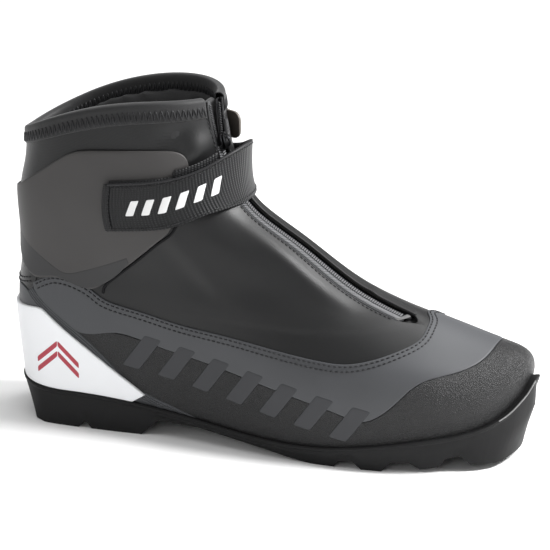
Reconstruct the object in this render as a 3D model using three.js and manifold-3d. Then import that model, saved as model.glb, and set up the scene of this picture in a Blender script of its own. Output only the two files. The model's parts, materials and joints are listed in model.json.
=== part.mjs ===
// Cross country ski boot, right foot. Millimetres, +X to the toe, +Y to the inner side, +Z up.
// Everything is laid out from the rear of the heel (x = 0) on the floor (z = 0), and the last group
// moves it so that the origin is under the middle of the whole boot.

import * as THREE from 'three';
import { mergeVertices } from 'three/addons/utils/BufferGeometryUtils.js';
import Module from 'manifold-3d';

const wasm = await Module();
wasm.setup();

// ---------- driving dimensions ----------

const ORIGIN = new THREE.Vector3(148, 0.7, 0);   // middle of the boot on the floor

const LEVELS = [0, 0.1, 0.2, 0.3, 0.4, 0.5, 0.6, 0.7, 0.8, 0.9, 1];   // sole edge to collar
const FRONT_X = [295, 296, 289, 265, 233, 199, 168, 141, 127, 121, 118];
const FRONT_Z = [40, 51.5, 65, 74, 84, 97, 114.5, 131.5, 151, 172, 190];
const REAR_X = [1, 0, -0.5, 0, 1.5, 2.5, 2.5, 1.5, 1, 4, 5];
const REAR_Z = [23, 37, 50, 63, 77, 91, 105, 120, 134, 148, 164.5];
const RIM_X = [-5, 40, 87, 127, 171, 208, 249, 279, 296];             // where sole and upper meet
const RIM_Z = [23.5, 21.5, 16.8, 11.6, 8.2, 11, 18.3, 26, 40];
const WIDTH_X = [-5, 25, 60, 100, 130, 170, 205, 240, 270, 300];
const OUTER_HALF = [34, 34, 33.5, 33.5, 37.5, 45, 49, 48, 44.5, 42];
const INNER_HALF = [34, 34, 33.5, 32, 34.5, 42, 46.5, 47, 45, 42];
const FRONT_BLUNT_OUTER = [34, 33, 36, 44, 44, 38, 32, 28, 24, 24, 24];
const FRONT_BLUNT_INNER = [24, 25, 30, 40, 42, 36, 30, 26, 24, 24, 24];
const RIM_FADE = 2.2;          // how fast the curve of the sole edge dies out upwards
const COLLAR_CROWN = 10;       // rise of the collar's sides over its ends

const AROUND = 32;             // facets of a full ring
const ROWS = 16;               // facets from sole to collar
const GAP = 0.3;               // clearance between neighbours

const SKIN = [-1.2, 0];                // gaiter fabric
const OVERLAY = [0.3, 1.2];            // panels stitched on the gaiter
const CUFF = [0.35, 2.15];
const CAP = [1.5, 2.8];
const STIFFENER = [-2.6, -1.5];        // hidden counter, toe puff and eyestays
const EYESTAY = [-2.3, -1.6];
const BOOTIE = [-6.4, -3.3];
const TONGUE = [-6.8, -4.6];
const LOOP_PAD = [2.5, 3.2];
const HOOK_PAD = [3.5, 4.2];
const ANCHOR_TAB = [2.6, 4];
const STRAP = [4.5, 5.9];

const SOLE_LAP = { side: 2.6, end: 2, seat: 2.2, taper: 3, lip: 3.2, lipFrom: 262 };
const SOLE_DROP = 0.7;                 // top of the sole under the rim line
const GROOVE = { offset: 8, width: 5, depth: 4.5 };
const SHANK = { from: 52, to: 188, half: 14, top: 1, bottom: 2.6 };
const BOARD = { inset: -7, bottom: 0.8, top: 2.6 };
const FOOTBED = { inset: -7.2, bottom: 3, top: 6.5 };
const BAR = { x: 283, z: 9.6, radius: 2, half: 20, slotHalf: 13 };

const ZIP = { bottom: 0.42, openFrom: 0.86, tape: 4.2, coil: 1.2, slit: 4.6, open: 2.2 };
const SLIDER = { level: 0.875, width: 8, height: 9, depth: 2.4, standOff: 0.9 };
const PULL = { width: 4, length: 13, thick: 1.2, lift: 0.5 };
const LACE = { radius: 1.05, rows: 6, reach: 9.5, from: 0.47, to: 0.84, depth: -2.7 };
const STRAP_PIN = { x: 98, z: 134.5, offset: 4.5, radius: 1.7, half: 15 };
const WING_TIP = { from: 103, z: 159.6, length: 19, height: 16.6, thick: 1.7, corner: 5, turn: -24 };

// ---------- helpers on curves ----------

// Smooth height through a row of points (natural cubic), held level past both ends.
function curveThrough(xs, ys) {
  const n = xs.length;
  const bend = new Array(n).fill(0);
  const carry = new Array(n).fill(0);
  for (let i = 1; i < n - 1; i += 1) {
    const left = xs[i] - xs[i - 1];
    const right = xs[i + 1] - xs[i];
    const pull = 6 * ((ys[i + 1] - ys[i]) / right - (ys[i] - ys[i - 1]) / left);
    const pivot = 2 * (left + right) - left * carry[i - 1];
    carry[i] = right / pivot;
    bend[i] = (pull - left * bend[i - 1]) / pivot;
  }
  for (let i = n - 2; i > 0; i -= 1) bend[i] -= carry[i] * bend[i + 1];
  return (at) => {
    const x = Math.min(Math.max(at, xs[0]), xs[n - 1]);
    let i = 0;
    while (i < n - 2 && x > xs[i + 1]) i += 1;
    const span = xs[i + 1] - xs[i];
    const a = (xs[i + 1] - x) / span;
    const b = 1 - a;
    const cubic = (a ** 3 - a) * bend[i] + (b ** 3 - b) * bend[i + 1];
    return a * ys[i] + b * ys[i + 1] + (cubic * span * span) / 6;
  };
}

const mix = (a, b, t) => a + (b - a) * t;

function smooth(from, to, x) {
  const t = THREE.MathUtils.clamp((x - from) / (to - from), 0, 1);
  return t * t * (3 - 2 * t);
}

const frontX = curveThrough(LEVELS, FRONT_X);
const frontZ = curveThrough(LEVELS, FRONT_Z);
const rearX = curveThrough(LEVELS, REAR_X);
const rearZ = curveThrough(LEVELS, REAR_Z);
const rim = curveThrough(RIM_X, RIM_Z);
const outerHalf = curveThrough(WIDTH_X, OUTER_HALF);
const innerHalf = curveThrough(WIDTH_X, INNER_HALF);
const legHalf = curveThrough([0, 0.3, 0.45, 0.6, 0.8, 1], [36, 34.5, 33.5, 35, 38, 38.5]);
const bluntOuter = curveThrough(LEVELS, FRONT_BLUNT_OUTER);
const bluntInner = curveThrough(LEVELS, FRONT_BLUNT_INNER);
const bluntRear = curveThrough([0, 0.3, 0.5, 0.8, 1], [18.5, 18, 17, 20, 22]);
const middleY = curveThrough([-5, 120, 200, 300], [0, 0, 1, 4]);

// ---------- the skin of the boot ----------

// Point of the skin: s runs -1..1, 0 on the front ridge, +1 and -1 on the rear one, + on the outer side,
// and v runs from 0 at the sole to 1 at the collar.
function skin(s, v) {
  const outer = s >= 0;
  const t = (1 + Math.cos(Math.PI * s)) / 2;
  const back = rearX(v);
  const front = frontX(v);
  const x = mix(back, front, t);
  const straightRim = mix(REAR_Z[0], FRONT_Z[0], t);
  let z = mix(rearZ(v), frontZ(v), t) + (rim(x) - straightRim) * (1 - v) ** RIM_FADE;
  z += COLLAR_CROWN * Math.max(Math.sin(Math.PI * t), 0) ** 0.8 * smooth(0.75, 1, v);
  const leg = smooth(0.12, 0.62, v);
  const half = mix(outer ? outerHalf(x) : innerHalf(x), legHalf(v), leg);
  const blunt = outer ? bluntOuter(v) : bluntInner(v);
  const nose = Math.tanh(Math.max(front - x, 0) / blunt);
  const heel = Math.tanh(Math.max(x - back, 0) / bluntRear(v));
  const round = Math.sqrt(nose * heel);
  return new THREE.Vector3(x, (outer ? -1 : 1) * half * round + middleY(x), z);
}

// The skin moved out along its normal.
function offsetSkin(s, v, offset) {
  const ds = 0.004;
  const dv = 0.004;
  const wrap = (a) => (a > 1 ? a - 2 : a < -1 ? a + 2 : a);
  const low = Math.max(v - dv, 0);
  const high = Math.min(v + dv, 1);
  const round = skin(wrap(s + ds), v).sub(skin(wrap(s - ds), v));
  const up = skin(s, high).sub(skin(s, low));
  const normal = up.cross(round).normalize();
  return skin(s, v).addScaledVector(normal, offset);
}

// The inner side of the boot at a given x and height.
function innerSideAt(x, z, offset) {
  let low = 0;
  let high = 1;
  let s = -0.5;
  for (let i = 0; i < 24; i += 1) {
    const v = (low + high) / 2;
    const back = rearX(v);
    s = -Math.acos(THREE.MathUtils.clamp((2 * (x - back)) / (frontX(v) - back) - 1, -1, 1)) / Math.PI;
    if (skin(s, v).z < z) low = v;
    else high = v;
  }
  return offsetSkin(s, (low + high) / 2, offset);
}

// Where on a level the skin has the given y, near the front ridge.
function sideAt(v, y) {
  let low = -0.6;
  let high = 0.6;
  for (let i = 0; i < 40; i += 1) {
    const middle = (low + high) / 2;
    if (skin(middle, v).y > y) low = middle;
    else high = middle;
  }
  return (low + high) / 2;
}

// ---------- helpers on solids ----------

function signedVolume(points, faces) {
  let sum = 0;
  for (const [a, b, c] of faces) sum += points[a].dot(points[b].clone().cross(points[c]));
  return sum;
}

function meshOf(points, quads, triangles = []) {
  const faces = [...triangles];
  for (const [a, b, c, d] of quads) faces.push([a, b, c], [a, c, d]);
  const inward = signedVolume(points, faces) < 0;
  const geometry = new THREE.BufferGeometry();
  geometry.setAttribute('position', new THREE.Float32BufferAttribute(points.flatMap((p) => p.toArray()), 3));
  geometry.setIndex(faces.flatMap(([a, b, c]) => (inward ? [a, c, b] : [a, b, c])));
  return geometry;
}

// A sheet of a given thickness: at(i, j, layer) gives the points of its inner and outer side.
function slab(at, columns, rows, closed) {
  const across = closed ? columns : columns + 1;
  const points = [];
  for (let layer = 0; layer < 2; layer += 1) {
    for (let j = 0; j <= rows; j += 1) {
      for (let i = 0; i < across; i += 1) points.push(at(i, j, layer));
    }
  }
  const id = (i, j, layer) => (layer * (rows + 1) + j) * across + (i % across);
  const quads = [];
  for (let i = 0; i < columns; i += 1) {
    for (let j = 0; j < rows; j += 1) {
      quads.push([id(i, j, 1), id(i + 1, j, 1), id(i + 1, j + 1, 1), id(i, j + 1, 1)]);
      quads.push([id(i, j, 0), id(i, j + 1, 0), id(i + 1, j + 1, 0), id(i + 1, j, 0)]);
    }
    quads.push([id(i, 0, 0), id(i + 1, 0, 0), id(i + 1, 0, 1), id(i, 0, 1)]);
    quads.push([id(i, rows, 1), id(i + 1, rows, 1), id(i + 1, rows, 0), id(i, rows, 0)]);
  }
  if (!closed) {
    for (let j = 0; j < rows; j += 1) {
      quads.push([id(0, j, 1), id(0, j + 1, 1), id(0, j + 1, 0), id(0, j, 0)]);
      quads.push([id(columns, j, 0), id(columns, j + 1, 0), id(columns, j + 1, 1), id(columns, j, 1)]);
    }
  }
  return meshOf(points, quads);
}

// A full ring of the skin between two levels.
function ring([inside, outside], from = 0, to = 1) {
  const first = Math.round(from * ROWS);
  const rows = Math.round(to * ROWS) - first;
  const at = (i, j, layer) => {
    const s = (2 * i) / AROUND - 1;
    return offsetSkin(s, (first + j) / ROWS, layer ? outside : inside);
  };
  return slab(at, AROUND, rows, true);
}

// A strip that runs up the front of the boot, between two lines given as y of the level.
function strip([inside, outside], fromLevel, toLevel, rows, lowY, highY, columns = 1) {
  const at = (i, j, layer) => {
    const v = mix(fromLevel, toLevel, j / rows);
    const s = sideAt(v, mix(lowY(v), highY(v), i / columns));
    return offsetSkin(s, v, layer ? outside : inside);
  };
  return slab(at, columns, rows, false);
}

// Outline of the sole edge, moved out by a distance that may change along it.
function edgePoint(s, distance, height) {
  const here = skin(s, 0);
  const wrap = (a) => (a > 1 ? a - 2 : a < -1 ? a + 2 : a);
  const along = skin(wrap(s + 0.01), 0).sub(skin(wrap(s - 0.01), 0));
  const out = new THREE.Vector2(-along.y, along.x).normalize().multiplyScalar(-distance);
  return new THREE.Vector3(here.x - out.x, here.y - out.y, height(here.x));
}

// A flat body with the sole's outline, made of rings from bottom to top, open chords closing both ends.
function footShape(rings) {
  const half = AROUND / 2;
  const points = rings.flatMap(([distance, height]) => {
    const row = [];
    for (let i = 0; i < AROUND; i += 1) {
      const s = (2 * i) / AROUND;
      const side = s > 1 ? s - 2 : s;
      row.push(edgePoint(side, typeof distance === 'number' ? distance : distance(side), height));
    }
    return row;
  });
  const id = (k, i) => k * AROUND + (i % AROUND);
  const quads = [];
  const triangles = [];
  for (let k = 0; k + 1 < rings.length; k += 1) {
    for (let i = 0; i < AROUND; i += 1) quads.push([id(k, i), id(k, i + 1), id(k + 1, i + 1), id(k + 1, i)]);
  }
  for (const [k, flip] of [[0, true], [rings.length - 1, false]]) {
    for (let i = 0; i < half; i += 1) {
      const corners = [id(k, i), id(k, i + 1), id(k, AROUND - i - 1), id(k, AROUND - i)];
      const face = i === 0 ? corners.slice(0, 3) : i === half - 1 ? [corners[0], corners[1], corners[3]] : corners;
      if (flip) face.reverse();
      (face.length === 3 ? triangles : quads).push(face);
    }
  }
  return meshOf(points, quads, triangles);
}

function solidOf(geometry) {
  const bare = geometry.clone();
  bare.deleteAttribute('normal');
  bare.deleteAttribute('uv');
  const merged = mergeVertices(bare, 1e-4);
  return new wasm.Manifold(new wasm.Mesh({
    numProp: 3,
    vertProperties: merged.attributes.position.array,
    triVerts: merged.index.array,
  }));
}

function geometryOf(solid) {
  const { vertProperties, triVerts } = solid.getMesh();
  const geometry = new THREE.BufferGeometry();
  geometry.setAttribute('position', new THREE.BufferAttribute(vertProperties, 3));
  geometry.setIndex(new THREE.BufferAttribute(triVerts, 1));
  return geometry;
}

// A closed outline in side view, pulled in by a gap on every edge.
function inset(outline, gap) {
  const shape = THREE.ShapeUtils.isClockWise(outline) ? [...outline].reverse() : outline;
  return shape.map((here, i) => {
    const before = shape[(i + shape.length - 1) % shape.length];
    const after = shape[(i + 1) % shape.length];
    const a = here.clone().sub(before).normalize();
    const b = after.clone().sub(here).normalize();
    const normal = new THREE.Vector2(-a.y - b.y, a.x + b.x).normalize();
    const reach = gap / Math.max(normal.dot(new THREE.Vector2(-a.y, a.x)), 0.35);
    return here.clone().addScaledVector(normal, reach);
  });
}

// A block with a side view outline, from one y to another.
function sideBlock(outline, fromY = -70, toY = 70, gap = GAP / 2) {
  const points = outline.map((p) => (Array.isArray(p) ? new THREE.Vector2(...p) : p));
  const shape = new THREE.Shape(inset(points, gap));
  const block = new THREE.ExtrudeGeometry(shape, { depth: toY - fromY, bevelEnabled: false, curveSegments: 1 });
  block.rotateX(Math.PI / 2);
  block.translate(0, toY, 0);
  return solidOf(block);
}

// A smooth line through side view points.
function line(points, steps) {
  return new THREE.SplineCurve(points.map(([x, z]) => new THREE.Vector2(x, z))).getPoints(steps);
}

function box(x0, x1, y0, y1, z0, z1) {
  const block = new THREE.BoxGeometry(x1 - x0, y1 - y0, z1 - z0);
  block.translate((x0 + x1) / 2, (y0 + y1) / 2, (z0 + z1) / 2);
  return solidOf(block);
}

const MATERIALS = {
  softshell: { color: '#1d1e20', roughness: 0.72 },
  lining: { color: '#17181a', roughness: 0.95 },
  overlay: { color: '#4a4d51', roughness: 0.6 },
  rand: { color: '#141517', roughness: 0.55 },
  cuff: { color: '#434140', roughness: 0.5 },
  cap: { color: '#e3e5e9', roughness: 0.35 },
  rubber: { color: '#26272a', roughness: 0.7 },
  webbing: { color: '#2a2b2d', roughness: 0.85 },
  zip: { color: '#8b8e92', roughness: 0.6 },
  plastic: { color: '#222325', roughness: 0.45 },
  board: { color: '#b9a98a', roughness: 0.9 },
  steel: { color: '#a9adb2', roughness: 0.3, metalness: 1 },
};

const boot = new THREE.Group();
boot.position.copy(ORIGIN).negate();

function add(name, shape, material) {
  const geometry = shape.isBufferGeometry ? shape : geometryOf(shape);
  const mesh = new THREE.Mesh(geometry, new THREE.MeshStandardMaterial(MATERIALS[material]));
  mesh.name = name;
  boot.add(mesh);
  return mesh;
}

// ---------- sole ----------

const lap = (s) => SOLE_LAP.side + SOLE_LAP.end * Math.cos(Math.PI * s) ** 4;
const soleTop = (x) => rim(x) - SOLE_DROP;
const soleLip = (x) => soleTop(x) + SOLE_LAP.lip * smooth(SOLE_LAP.lipFrom, 300, x);
const soleBlank = solidOf(footShape([
  [(s) => lap(s) - SOLE_LAP.taper, () => -2],
  [lap, soleLip],
  [SOLE_LAP.seat, soleTop],
]));

// Underside in side view, from the back of the heel to the front of the toe.
const HEEL_BASE = 8;           // joint between heel tread and sole body
const TREAD_BASE = 7.4;        // joint between forefoot tread and sole body
const FORE_TREAD = [203, 265];
const bodyOutline = [
  [-12, 70], [-12, 34], [-3, 16], [1, HEEL_BASE], [84, HEEL_BASE], [89, 9.2], [164, 2.4], [176, 1.1], [187, 0], [198, 0],
  [FORE_TREAD[0], 5], [FORE_TREAD[0], TREAD_BASE], [FORE_TREAD[1], TREAD_BASE], [FORE_TREAD[1], 6.2],
  [272, 6.2], [275, 4.4], [290, 6.2], [303.5, 38], [312, 70],
];
const heelOutline = [
  [1, HEEL_BASE - GAP], [3, 4], [23, 1.4], [26, 4.4], [30, 4.4], [31, 0], [78, 0], [82.5, 5.4], [83, HEEL_BASE - GAP],
];
const foreOutline = [
  [FORE_TREAD[0] + GAP, TREAD_BASE - GAP], [FORE_TREAD[0] + GAP, 5.2], [214, 5.2], [216, 0], [232, 0], [236, 5.2],
  [246, 5.2], [248, 2.2], [259, 2.6], [262, 5.4], [FORE_TREAD[1] - GAP, 5.4], [FORE_TREAD[1] - GAP, TREAD_BASE - GAP],
];

const grooves = [-1, 1].map((side) => {
  const near = side * GROOVE.offset - GROOVE.width / 2;
  return box(-20, 320, near, near + GROOVE.width, -10, GROOVE.depth);
});
const cutGrooves = (solid) => solid.subtract(grooves[0]).subtract(grooves[1]);

// Band that follows the rim line between two depths.
function rimBand(from, to, top, bottom) {
  const steps = 12;
  const upper = [];
  const lower = [];
  for (let i = 0; i <= steps; i += 1) {
    const x = mix(from, to, i / steps);
    upper.push(new THREE.Vector2(x, rim(x) - top));
    lower.unshift(new THREE.Vector2(x, rim(x) - bottom));
  }
  return [...upper, ...lower];
}

const shankPocket = sideBlock(
  rimBand(SHANK.from - GAP, SHANK.to + GAP, -4, SHANK.bottom + GAP), -SHANK.half - GAP, SHANK.half + GAP, 0,
);
const barSlot = box(BAR.x - 5, BAR.x + 5, -BAR.slotHalf, BAR.slotHalf, -5, BAR.z + 4.5);
const barSeat = BAR.radius + GAP;
const barSocket = box(
  BAR.x - barSeat, BAR.x + barSeat, -BAR.half - GAP, BAR.half + GAP, BAR.z - barSeat, BAR.z + barSeat,
);

let body = cutGrooves(soleBlank.intersect(sideBlock(bodyOutline, -70, 70, 0)));
body = body.subtract(shankPocket).subtract(barSlot).subtract(barSocket);
add('sole_body', body, 'rubber');
add('heel_tread', cutGrooves(soleBlank.intersect(sideBlock(heelOutline, -70, 70, 0))), 'rubber');
add('forefoot_tread', cutGrooves(soleBlank.intersect(sideBlock(foreOutline, -70, 70, 0))), 'rubber');
add('shank_plate', sideBlock(rimBand(SHANK.from, SHANK.to, SHANK.top, SHANK.bottom), -SHANK.half, SHANK.half, 0), 'plastic');

const bar = new THREE.CylinderGeometry(BAR.radius, BAR.radius, 2 * BAR.half, 16);
bar.translate(BAR.x, 0, BAR.z);
add('binding_bar', bar, 'steel');

// ---------- inside of the foot ----------

const above = (height) => (x) => rim(x) + height;
add('lasting_board', footShape([[BOARD.inset, above(BOARD.bottom)], [BOARD.inset, above(BOARD.top)]]), 'board');
add('footbed', footShape([[FOOTBED.inset, above(FOOTBED.bottom)], [FOOTBED.inset, above(FOOTBED.top)]]), 'lining');

const zipY = curveThrough([0.4, 0.5, 0.68, 0.85, 1], [-1, -5, -8, -7, -6]);
const throatLow = (v) => zipY(v) - 12;
const throatHigh = (v) => zipY(v) + 12;
const throat = solidOf(strip([-12, 6], 0.45, 1, 20, throatLow, throatHigh, 6));
add('inner_bootie', solidOf(ring(BOOTIE, 0.05, 1)).subtract(throat), 'lining');
add('tongue', strip(TONGUE, 0.44 + 0.03, 0.99, 16, (v) => zipY(v) - 11.2, (v) => zipY(v) + 11.2, 6), 'lining');

const stiffeners = solidOf(ring(STIFFENER, 0.05, 0.9));
const puffOutline = [[262, 10], [258, 50], [256, 100], [320, 100], [320, 10]];
const counterOutline = [[-20, 10], [-20, 84], [22, 78], [62, 44], [84, 24], [84, 10]];
add('toe_puff', stiffeners.intersect(sideBlock(puffOutline)), 'plastic');
add('heel_stiffener', stiffeners.intersect(sideBlock(counterOutline)), 'plastic');
for (const [name, from, to] of [['eyestay_outer', -24, -13], ['eyestay_inner', 13, 24]]) {
  add(name, strip(EYESTAY, 0.46, 0.86, 12, (v) => zipY(v) + from, (v) => zipY(v) + to, 2), 'plastic');
}

// Lace: a zigzag over the tongue with a straight bar at each end.
const lacePoints = [];
for (let i = 0; i < LACE.rows; i += 1) {
  const v = mix(LACE.from, LACE.to, i / (LACE.rows - 1));
  const side = i % 2 ? 1 : -1;
  for (const reach of [-0.8, 0, 0.8, 1]) {
    const level = v + (reach === 1 ? 0.5 : 0) * ((LACE.to - LACE.from) / (LACE.rows - 1));
    lacePoints.push(offsetSkin(sideAt(level, zipY(level) + side * reach * LACE.reach), level, LACE.depth));
  }
}
const laceSection = new THREE.Shape();
laceSection.absarc(0, 0, LACE.radius, 0, 2 * Math.PI);
add('lace', mergeVertices(new THREE.ExtrudeGeometry(laceSection, {
  steps: 44, curveSegments: 3, extrudePath: new THREE.CatmullRomCurve3(lacePoints),
}).deleteAttribute('normal').deleteAttribute('uv'), 1e-3), 'webbing');

// ---------- gaiter, collar and zip ----------

const opening = (v) => ZIP.open * smooth(ZIP.openFrom, 1, v);
const slit = solidOf(strip([-8, 8], ZIP.bottom, 1, 24, (v) => zipY(v) - ZIP.slit - opening(v), (v) => zipY(v) + ZIP.slit + opening(v), 3));
add('gaiter', solidOf(ring(SKIN, 0.05, 1)).subtract(slit).intersect(box(-40, 340, -90, 90, 0, 300)), 'softshell');
const bindingOutline = [
  [-30, 156.5], [2, 157.5], [23.5, 163.1], [46.9, 170], [67.7, 176], [90, 181.3], [108, 183.8], [122, 181], [140, 181],
  [140, 230], [-30, 230],
];
add('collar_binding', solidOf(ring([0.3, 1.4], 0.8, 1)).subtract(slit).intersect(sideBlock(bindingOutline)), 'webbing');

for (const [name, side] of [['zip_tape_outer', -1], ['zip_tape_inner', 1]]) {
  const near = (v) => zipY(v) + side * (ZIP.coil + GAP + opening(v));
  const far = (v) => zipY(v) + side * (ZIP.tape + opening(v));
  const [low, high] = side < 0 ? [far, near] : [near, far];
  add(name, strip([-1.1, -0.2], ZIP.bottom + 0.012, 0.995, 22, low, high), 'zip');
}
add('zip_coil', strip([-1.2, 0.4], ZIP.bottom + 0.012, ZIP.openFrom, 18, (v) => zipY(v) - ZIP.coil, (v) => zipY(v) + ZIP.coil), 'zip');
add('zip_stop', strip([0.5, 1.6], 0.412, 0.428, 1, (v) => zipY(v) - 4.8, (v) => zipY(v) + 4.8, 2), 'webbing');
const flapRoot = (v) => zipY(v) + 5.2 + 0.6 * opening(v);
add('zip_flap', strip([0.7, 1.5], 0.4, 0.74, 14, flapRoot, (v) => flapRoot(v) + 9, 3), 'softshell');

const zipLean = Math.atan2(FRONT_X[9] - FRONT_X[10], FRONT_Z[10] - FRONT_Z[9]);
const acrossZip = new THREE.Vector3(0, 1, 0);
const upZip = new THREE.Vector3(-Math.sin(zipLean), 0, Math.cos(zipLean));
const outOfZip = new THREE.Vector3().crossVectors(acrossZip, upZip);
const slider = new THREE.Shape();
slider.moveTo(-SLIDER.width / 2, SLIDER.height / 2);
slider.lineTo(-SLIDER.width / 3.4, -SLIDER.height / 2);
slider.lineTo(SLIDER.width / 3.4, -SLIDER.height / 2);
slider.lineTo(SLIDER.width / 2, SLIDER.height / 2);
slider.closePath();
const sliderBody = new THREE.ExtrudeGeometry(slider, { depth: SLIDER.depth, bevelEnabled: false });
const sliderMesh = add('zip_slider', sliderBody, 'steel');

const pullShape = new THREE.Shape();
pullShape.moveTo(-PULL.width / 2, 0);
pullShape.lineTo(PULL.width / 2, 0);
pullShape.lineTo(PULL.width / 2, PULL.length - PULL.width / 2);
pullShape.absarc(0, PULL.length - PULL.width / 2, PULL.width / 2, 0, Math.PI);
pullShape.closePath();
const pullMesh = add('zip_pull', new THREE.ExtrudeGeometry(pullShape, {
  depth: PULL.thick, bevelEnabled: false, curveSegments: 6,
}), 'webbing');

// Both lie in the plane of the upper zip: shape x across the boot, shape y up along the zip.
const zipPlane = new THREE.Group();
zipPlane.position.copy(offsetSkin(sideAt(SLIDER.level, zipY(SLIDER.level)), SLIDER.level, SLIDER.standOff));
zipPlane.quaternion.setFromRotationMatrix(new THREE.Matrix4().makeBasis(acrossZip, upZip, outOfZip));
zipPlane.add(sliderMesh, pullMesh);
pullMesh.position.set(0, 0, SLIDER.depth + PULL.lift);
boot.add(zipPlane);

// ---------- panels on the outside ----------

const seam = [
  [-30, 75.5], [4.8, 76.6], [16.8, 80.9], [31.8, 86.2], [52.5, 81.8], [60.8, 76.2], [82.3, 71.8], [104.9, 67.1],
  [130.5, 64.3], [161.6, 61.1], [204.2, 57.7], [218.4, 61.4], [231.4, 65], [239.2, 68.6], [242.6, 72.2],
  [242.3, 76], [239.5, 84],
];
const seamLine = line(seam, 44);
const seamFrom = (x) => seamLine.filter((p) => p.x >= x);
const seamUpTo = (x) => seamLine.filter((p) => p.x <= x);
const bandFront = line([[15, 79.5], [45.2, 55.3], [73.4, 30.2], [93.5, 20.2], [115.5, 13.3], [124, 8]], 14);
const bandRear = bandFront.map((p) => new THREE.Vector2(p.x - 3.6, p.y - 2.6));
const randTop = line([[47, 54], [68, 57.6]], 2).concat(line([[198.2, 32.1], [210, 28.5], [215.8, 27.4], [221.9, 29.2],
  [229.6, 34.4], [238.6, 43], [246, 50.9], [255, 53.4], [268.3, 56.6], [276.5, 60], [279, 64.5], [278, 80]], 20));

const panels = solidOf(ring(OVERLAY, 0, 0.7));
const randOutline = [...randTop, [320, 80], [320, 0], ...bandFront.filter((p) => p.x > 47).reverse()];
const quarterOutline = [...seamFrom(18), [278, 84], ...[...randTop].reverse(), ...bandFront.filter((p) => p.x < 46).reverse()];
const bandOutline = [...bandFront, ...[...bandRear].reverse()];
const counterPanel = [...seamUpTo(11), ...bandRear, [112, 0], [-30, 0]];
add('toe_rand', panels.intersect(sideBlock(randOutline)), 'rand');
add('quarter_overlay', panels.intersect(sideBlock(quarterOutline)), 'overlay');
add('counter_band_outer', panels.intersect(sideBlock(bandOutline, -70, 0)), 'overlay');
add('counter_band_inner', panels.intersect(sideBlock(bandOutline, 0, 70)), 'overlay');
add('heel_counter', panels.intersect(sideBlock(counterPanel)), 'overlay');

const capOutline = [[-30, 65], [20, 67], [24, 66.6], [85.1, 23.1], [84, 20.4], [74.1, 18.5], [60, 17], [-30, 17]];
add('heel_cap', solidOf(ring(CAP, 0, 0.5)).intersect(sideBlock(capOutline)), 'cap');

const achillesOutline = [...seamUpTo(17), [18.9, 84.6], [5.9, 96.5], [-30, 97.5]];
add('achilles_panel', panels.intersect(sideBlock(achillesOutline)), 'rand');

// ---------- heel cuff ----------

const cuffShell = solidOf(ring(CUFF, 0.3, 1));
const cuffRear = [[-30, 97.5], [5.9, 96.5], [18.9, 84.6], ...seamLine.filter((p) => p.x > 19 && p.x < 56)];
const cuffSlope = [[61, 85.9], [95.2, 115.2], [101, 120.3], [107, 138], [110, 153.6], [108.5, 161.7], [105.1, 165.2],
  [97.8, 166.2], [47.4, 162.3], [37.5, 157.1], [16.4, 141.8], [0, 133], [-30, 131]];
const innerSlope = [[61, 85.9], [95.2, 115.2], [101, 120.3], [107, 140], [112, 158], [112, 174], [104, 176],
  [70, 169], [47.4, 162.3], [37.5, 157.1], [16.4, 141.8], [0, 133], [-30, 131]];
const cuffOuter = cuffShell.intersect(sideBlock([...cuffRear, ...cuffSlope], -80, 0.01));
const cuffInner = cuffShell.intersect(sideBlock([...cuffRear, ...innerSlope], 0, 80));

// The inner wing ends in a flat tip that stands free ahead of the collar.
const tip = new THREE.Shape();
tip.moveTo(0, 0);
tip.lineTo(WING_TIP.length - 1, 0);
tip.lineTo(WING_TIP.length, WING_TIP.height - WING_TIP.corner);
tip.quadraticCurveTo(WING_TIP.length, WING_TIP.height, WING_TIP.length - WING_TIP.corner, WING_TIP.height);
tip.lineTo(0, WING_TIP.height - 2);
tip.closePath();
const tipBlock = new THREE.ExtrudeGeometry(tip, { depth: WING_TIP.thick, bevelEnabled: false, curveSegments: 4 });
tipBlock.rotateX(Math.PI / 2);
tipBlock.rotateZ(THREE.MathUtils.degToRad(WING_TIP.turn));
const tipRoot = innerSideAt(WING_TIP.from, WING_TIP.z, CUFF[1]);
tipBlock.translate(tipRoot.x, tipRoot.y, WING_TIP.z);
add('heel_cuff', cuffOuter.add(cuffInner).add(solidOf(tipBlock)), 'cuff');

// ---------- ankle strap ----------

const strapLow = [[60, 119], [85, 121], [108.7, 124.3], [124.2, 128.1], [150, 138]];
const strapHigh = [[150, 163], [123, 158.2], [110.6, 153], [85, 149.8], [60, 148]];
const strapBand = [...strapLow, ...strapHigh];
const pinPlace = innerSideAt(STRAP_PIN.x, STRAP_PIN.z, STRAP_PIN.offset);
const pinReach = STRAP_PIN.radius + GAP;
const strapShell = solidOf(ring(STRAP, 0.5, 0.95)).intersect(sideBlock(strapBand));
add('ankle_strap', strapShell.intersect(box(65.5, 200, -90, 0.01, 0, 300)).add(
  strapShell.intersect(box(pinPlace.x + pinReach, 200, 0, 90, 0, 300))), 'webbing');
const padBand = inset(strapBand.map(([x, z]) => new THREE.Vector2(x, z)), 2);
const pad = (layer, x0, x1) => solidOf(ring(layer, 0.5, 0.95)).intersect(sideBlock(padBand)).intersect(box(x0, x1, -90, 0, 0, 300));
const pin = new THREE.CylinderGeometry(STRAP_PIN.radius, STRAP_PIN.radius, 2 * STRAP_PIN.half, 16);
pin.rotateX(Math.PI / 2);
pin.translate(pinPlace.x, pinPlace.y, pinPlace.z);
add('strap_pin', pin, 'steel');
const tabShell = solidOf(ring(ANCHOR_TAB, 0.5, 0.95)).intersect(sideBlock(padBand));
add('strap_anchor', tabShell.intersect(box(68, pinPlace.x - pinReach, 0, 90, 0, 300)), 'webbing');
add('hook_pad', pad(HOOK_PAD, 67.5, 92), 'webbing');
add('loop_pad', pad(LOOP_PAD, 66, 99), 'webbing');

export default boot;
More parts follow.
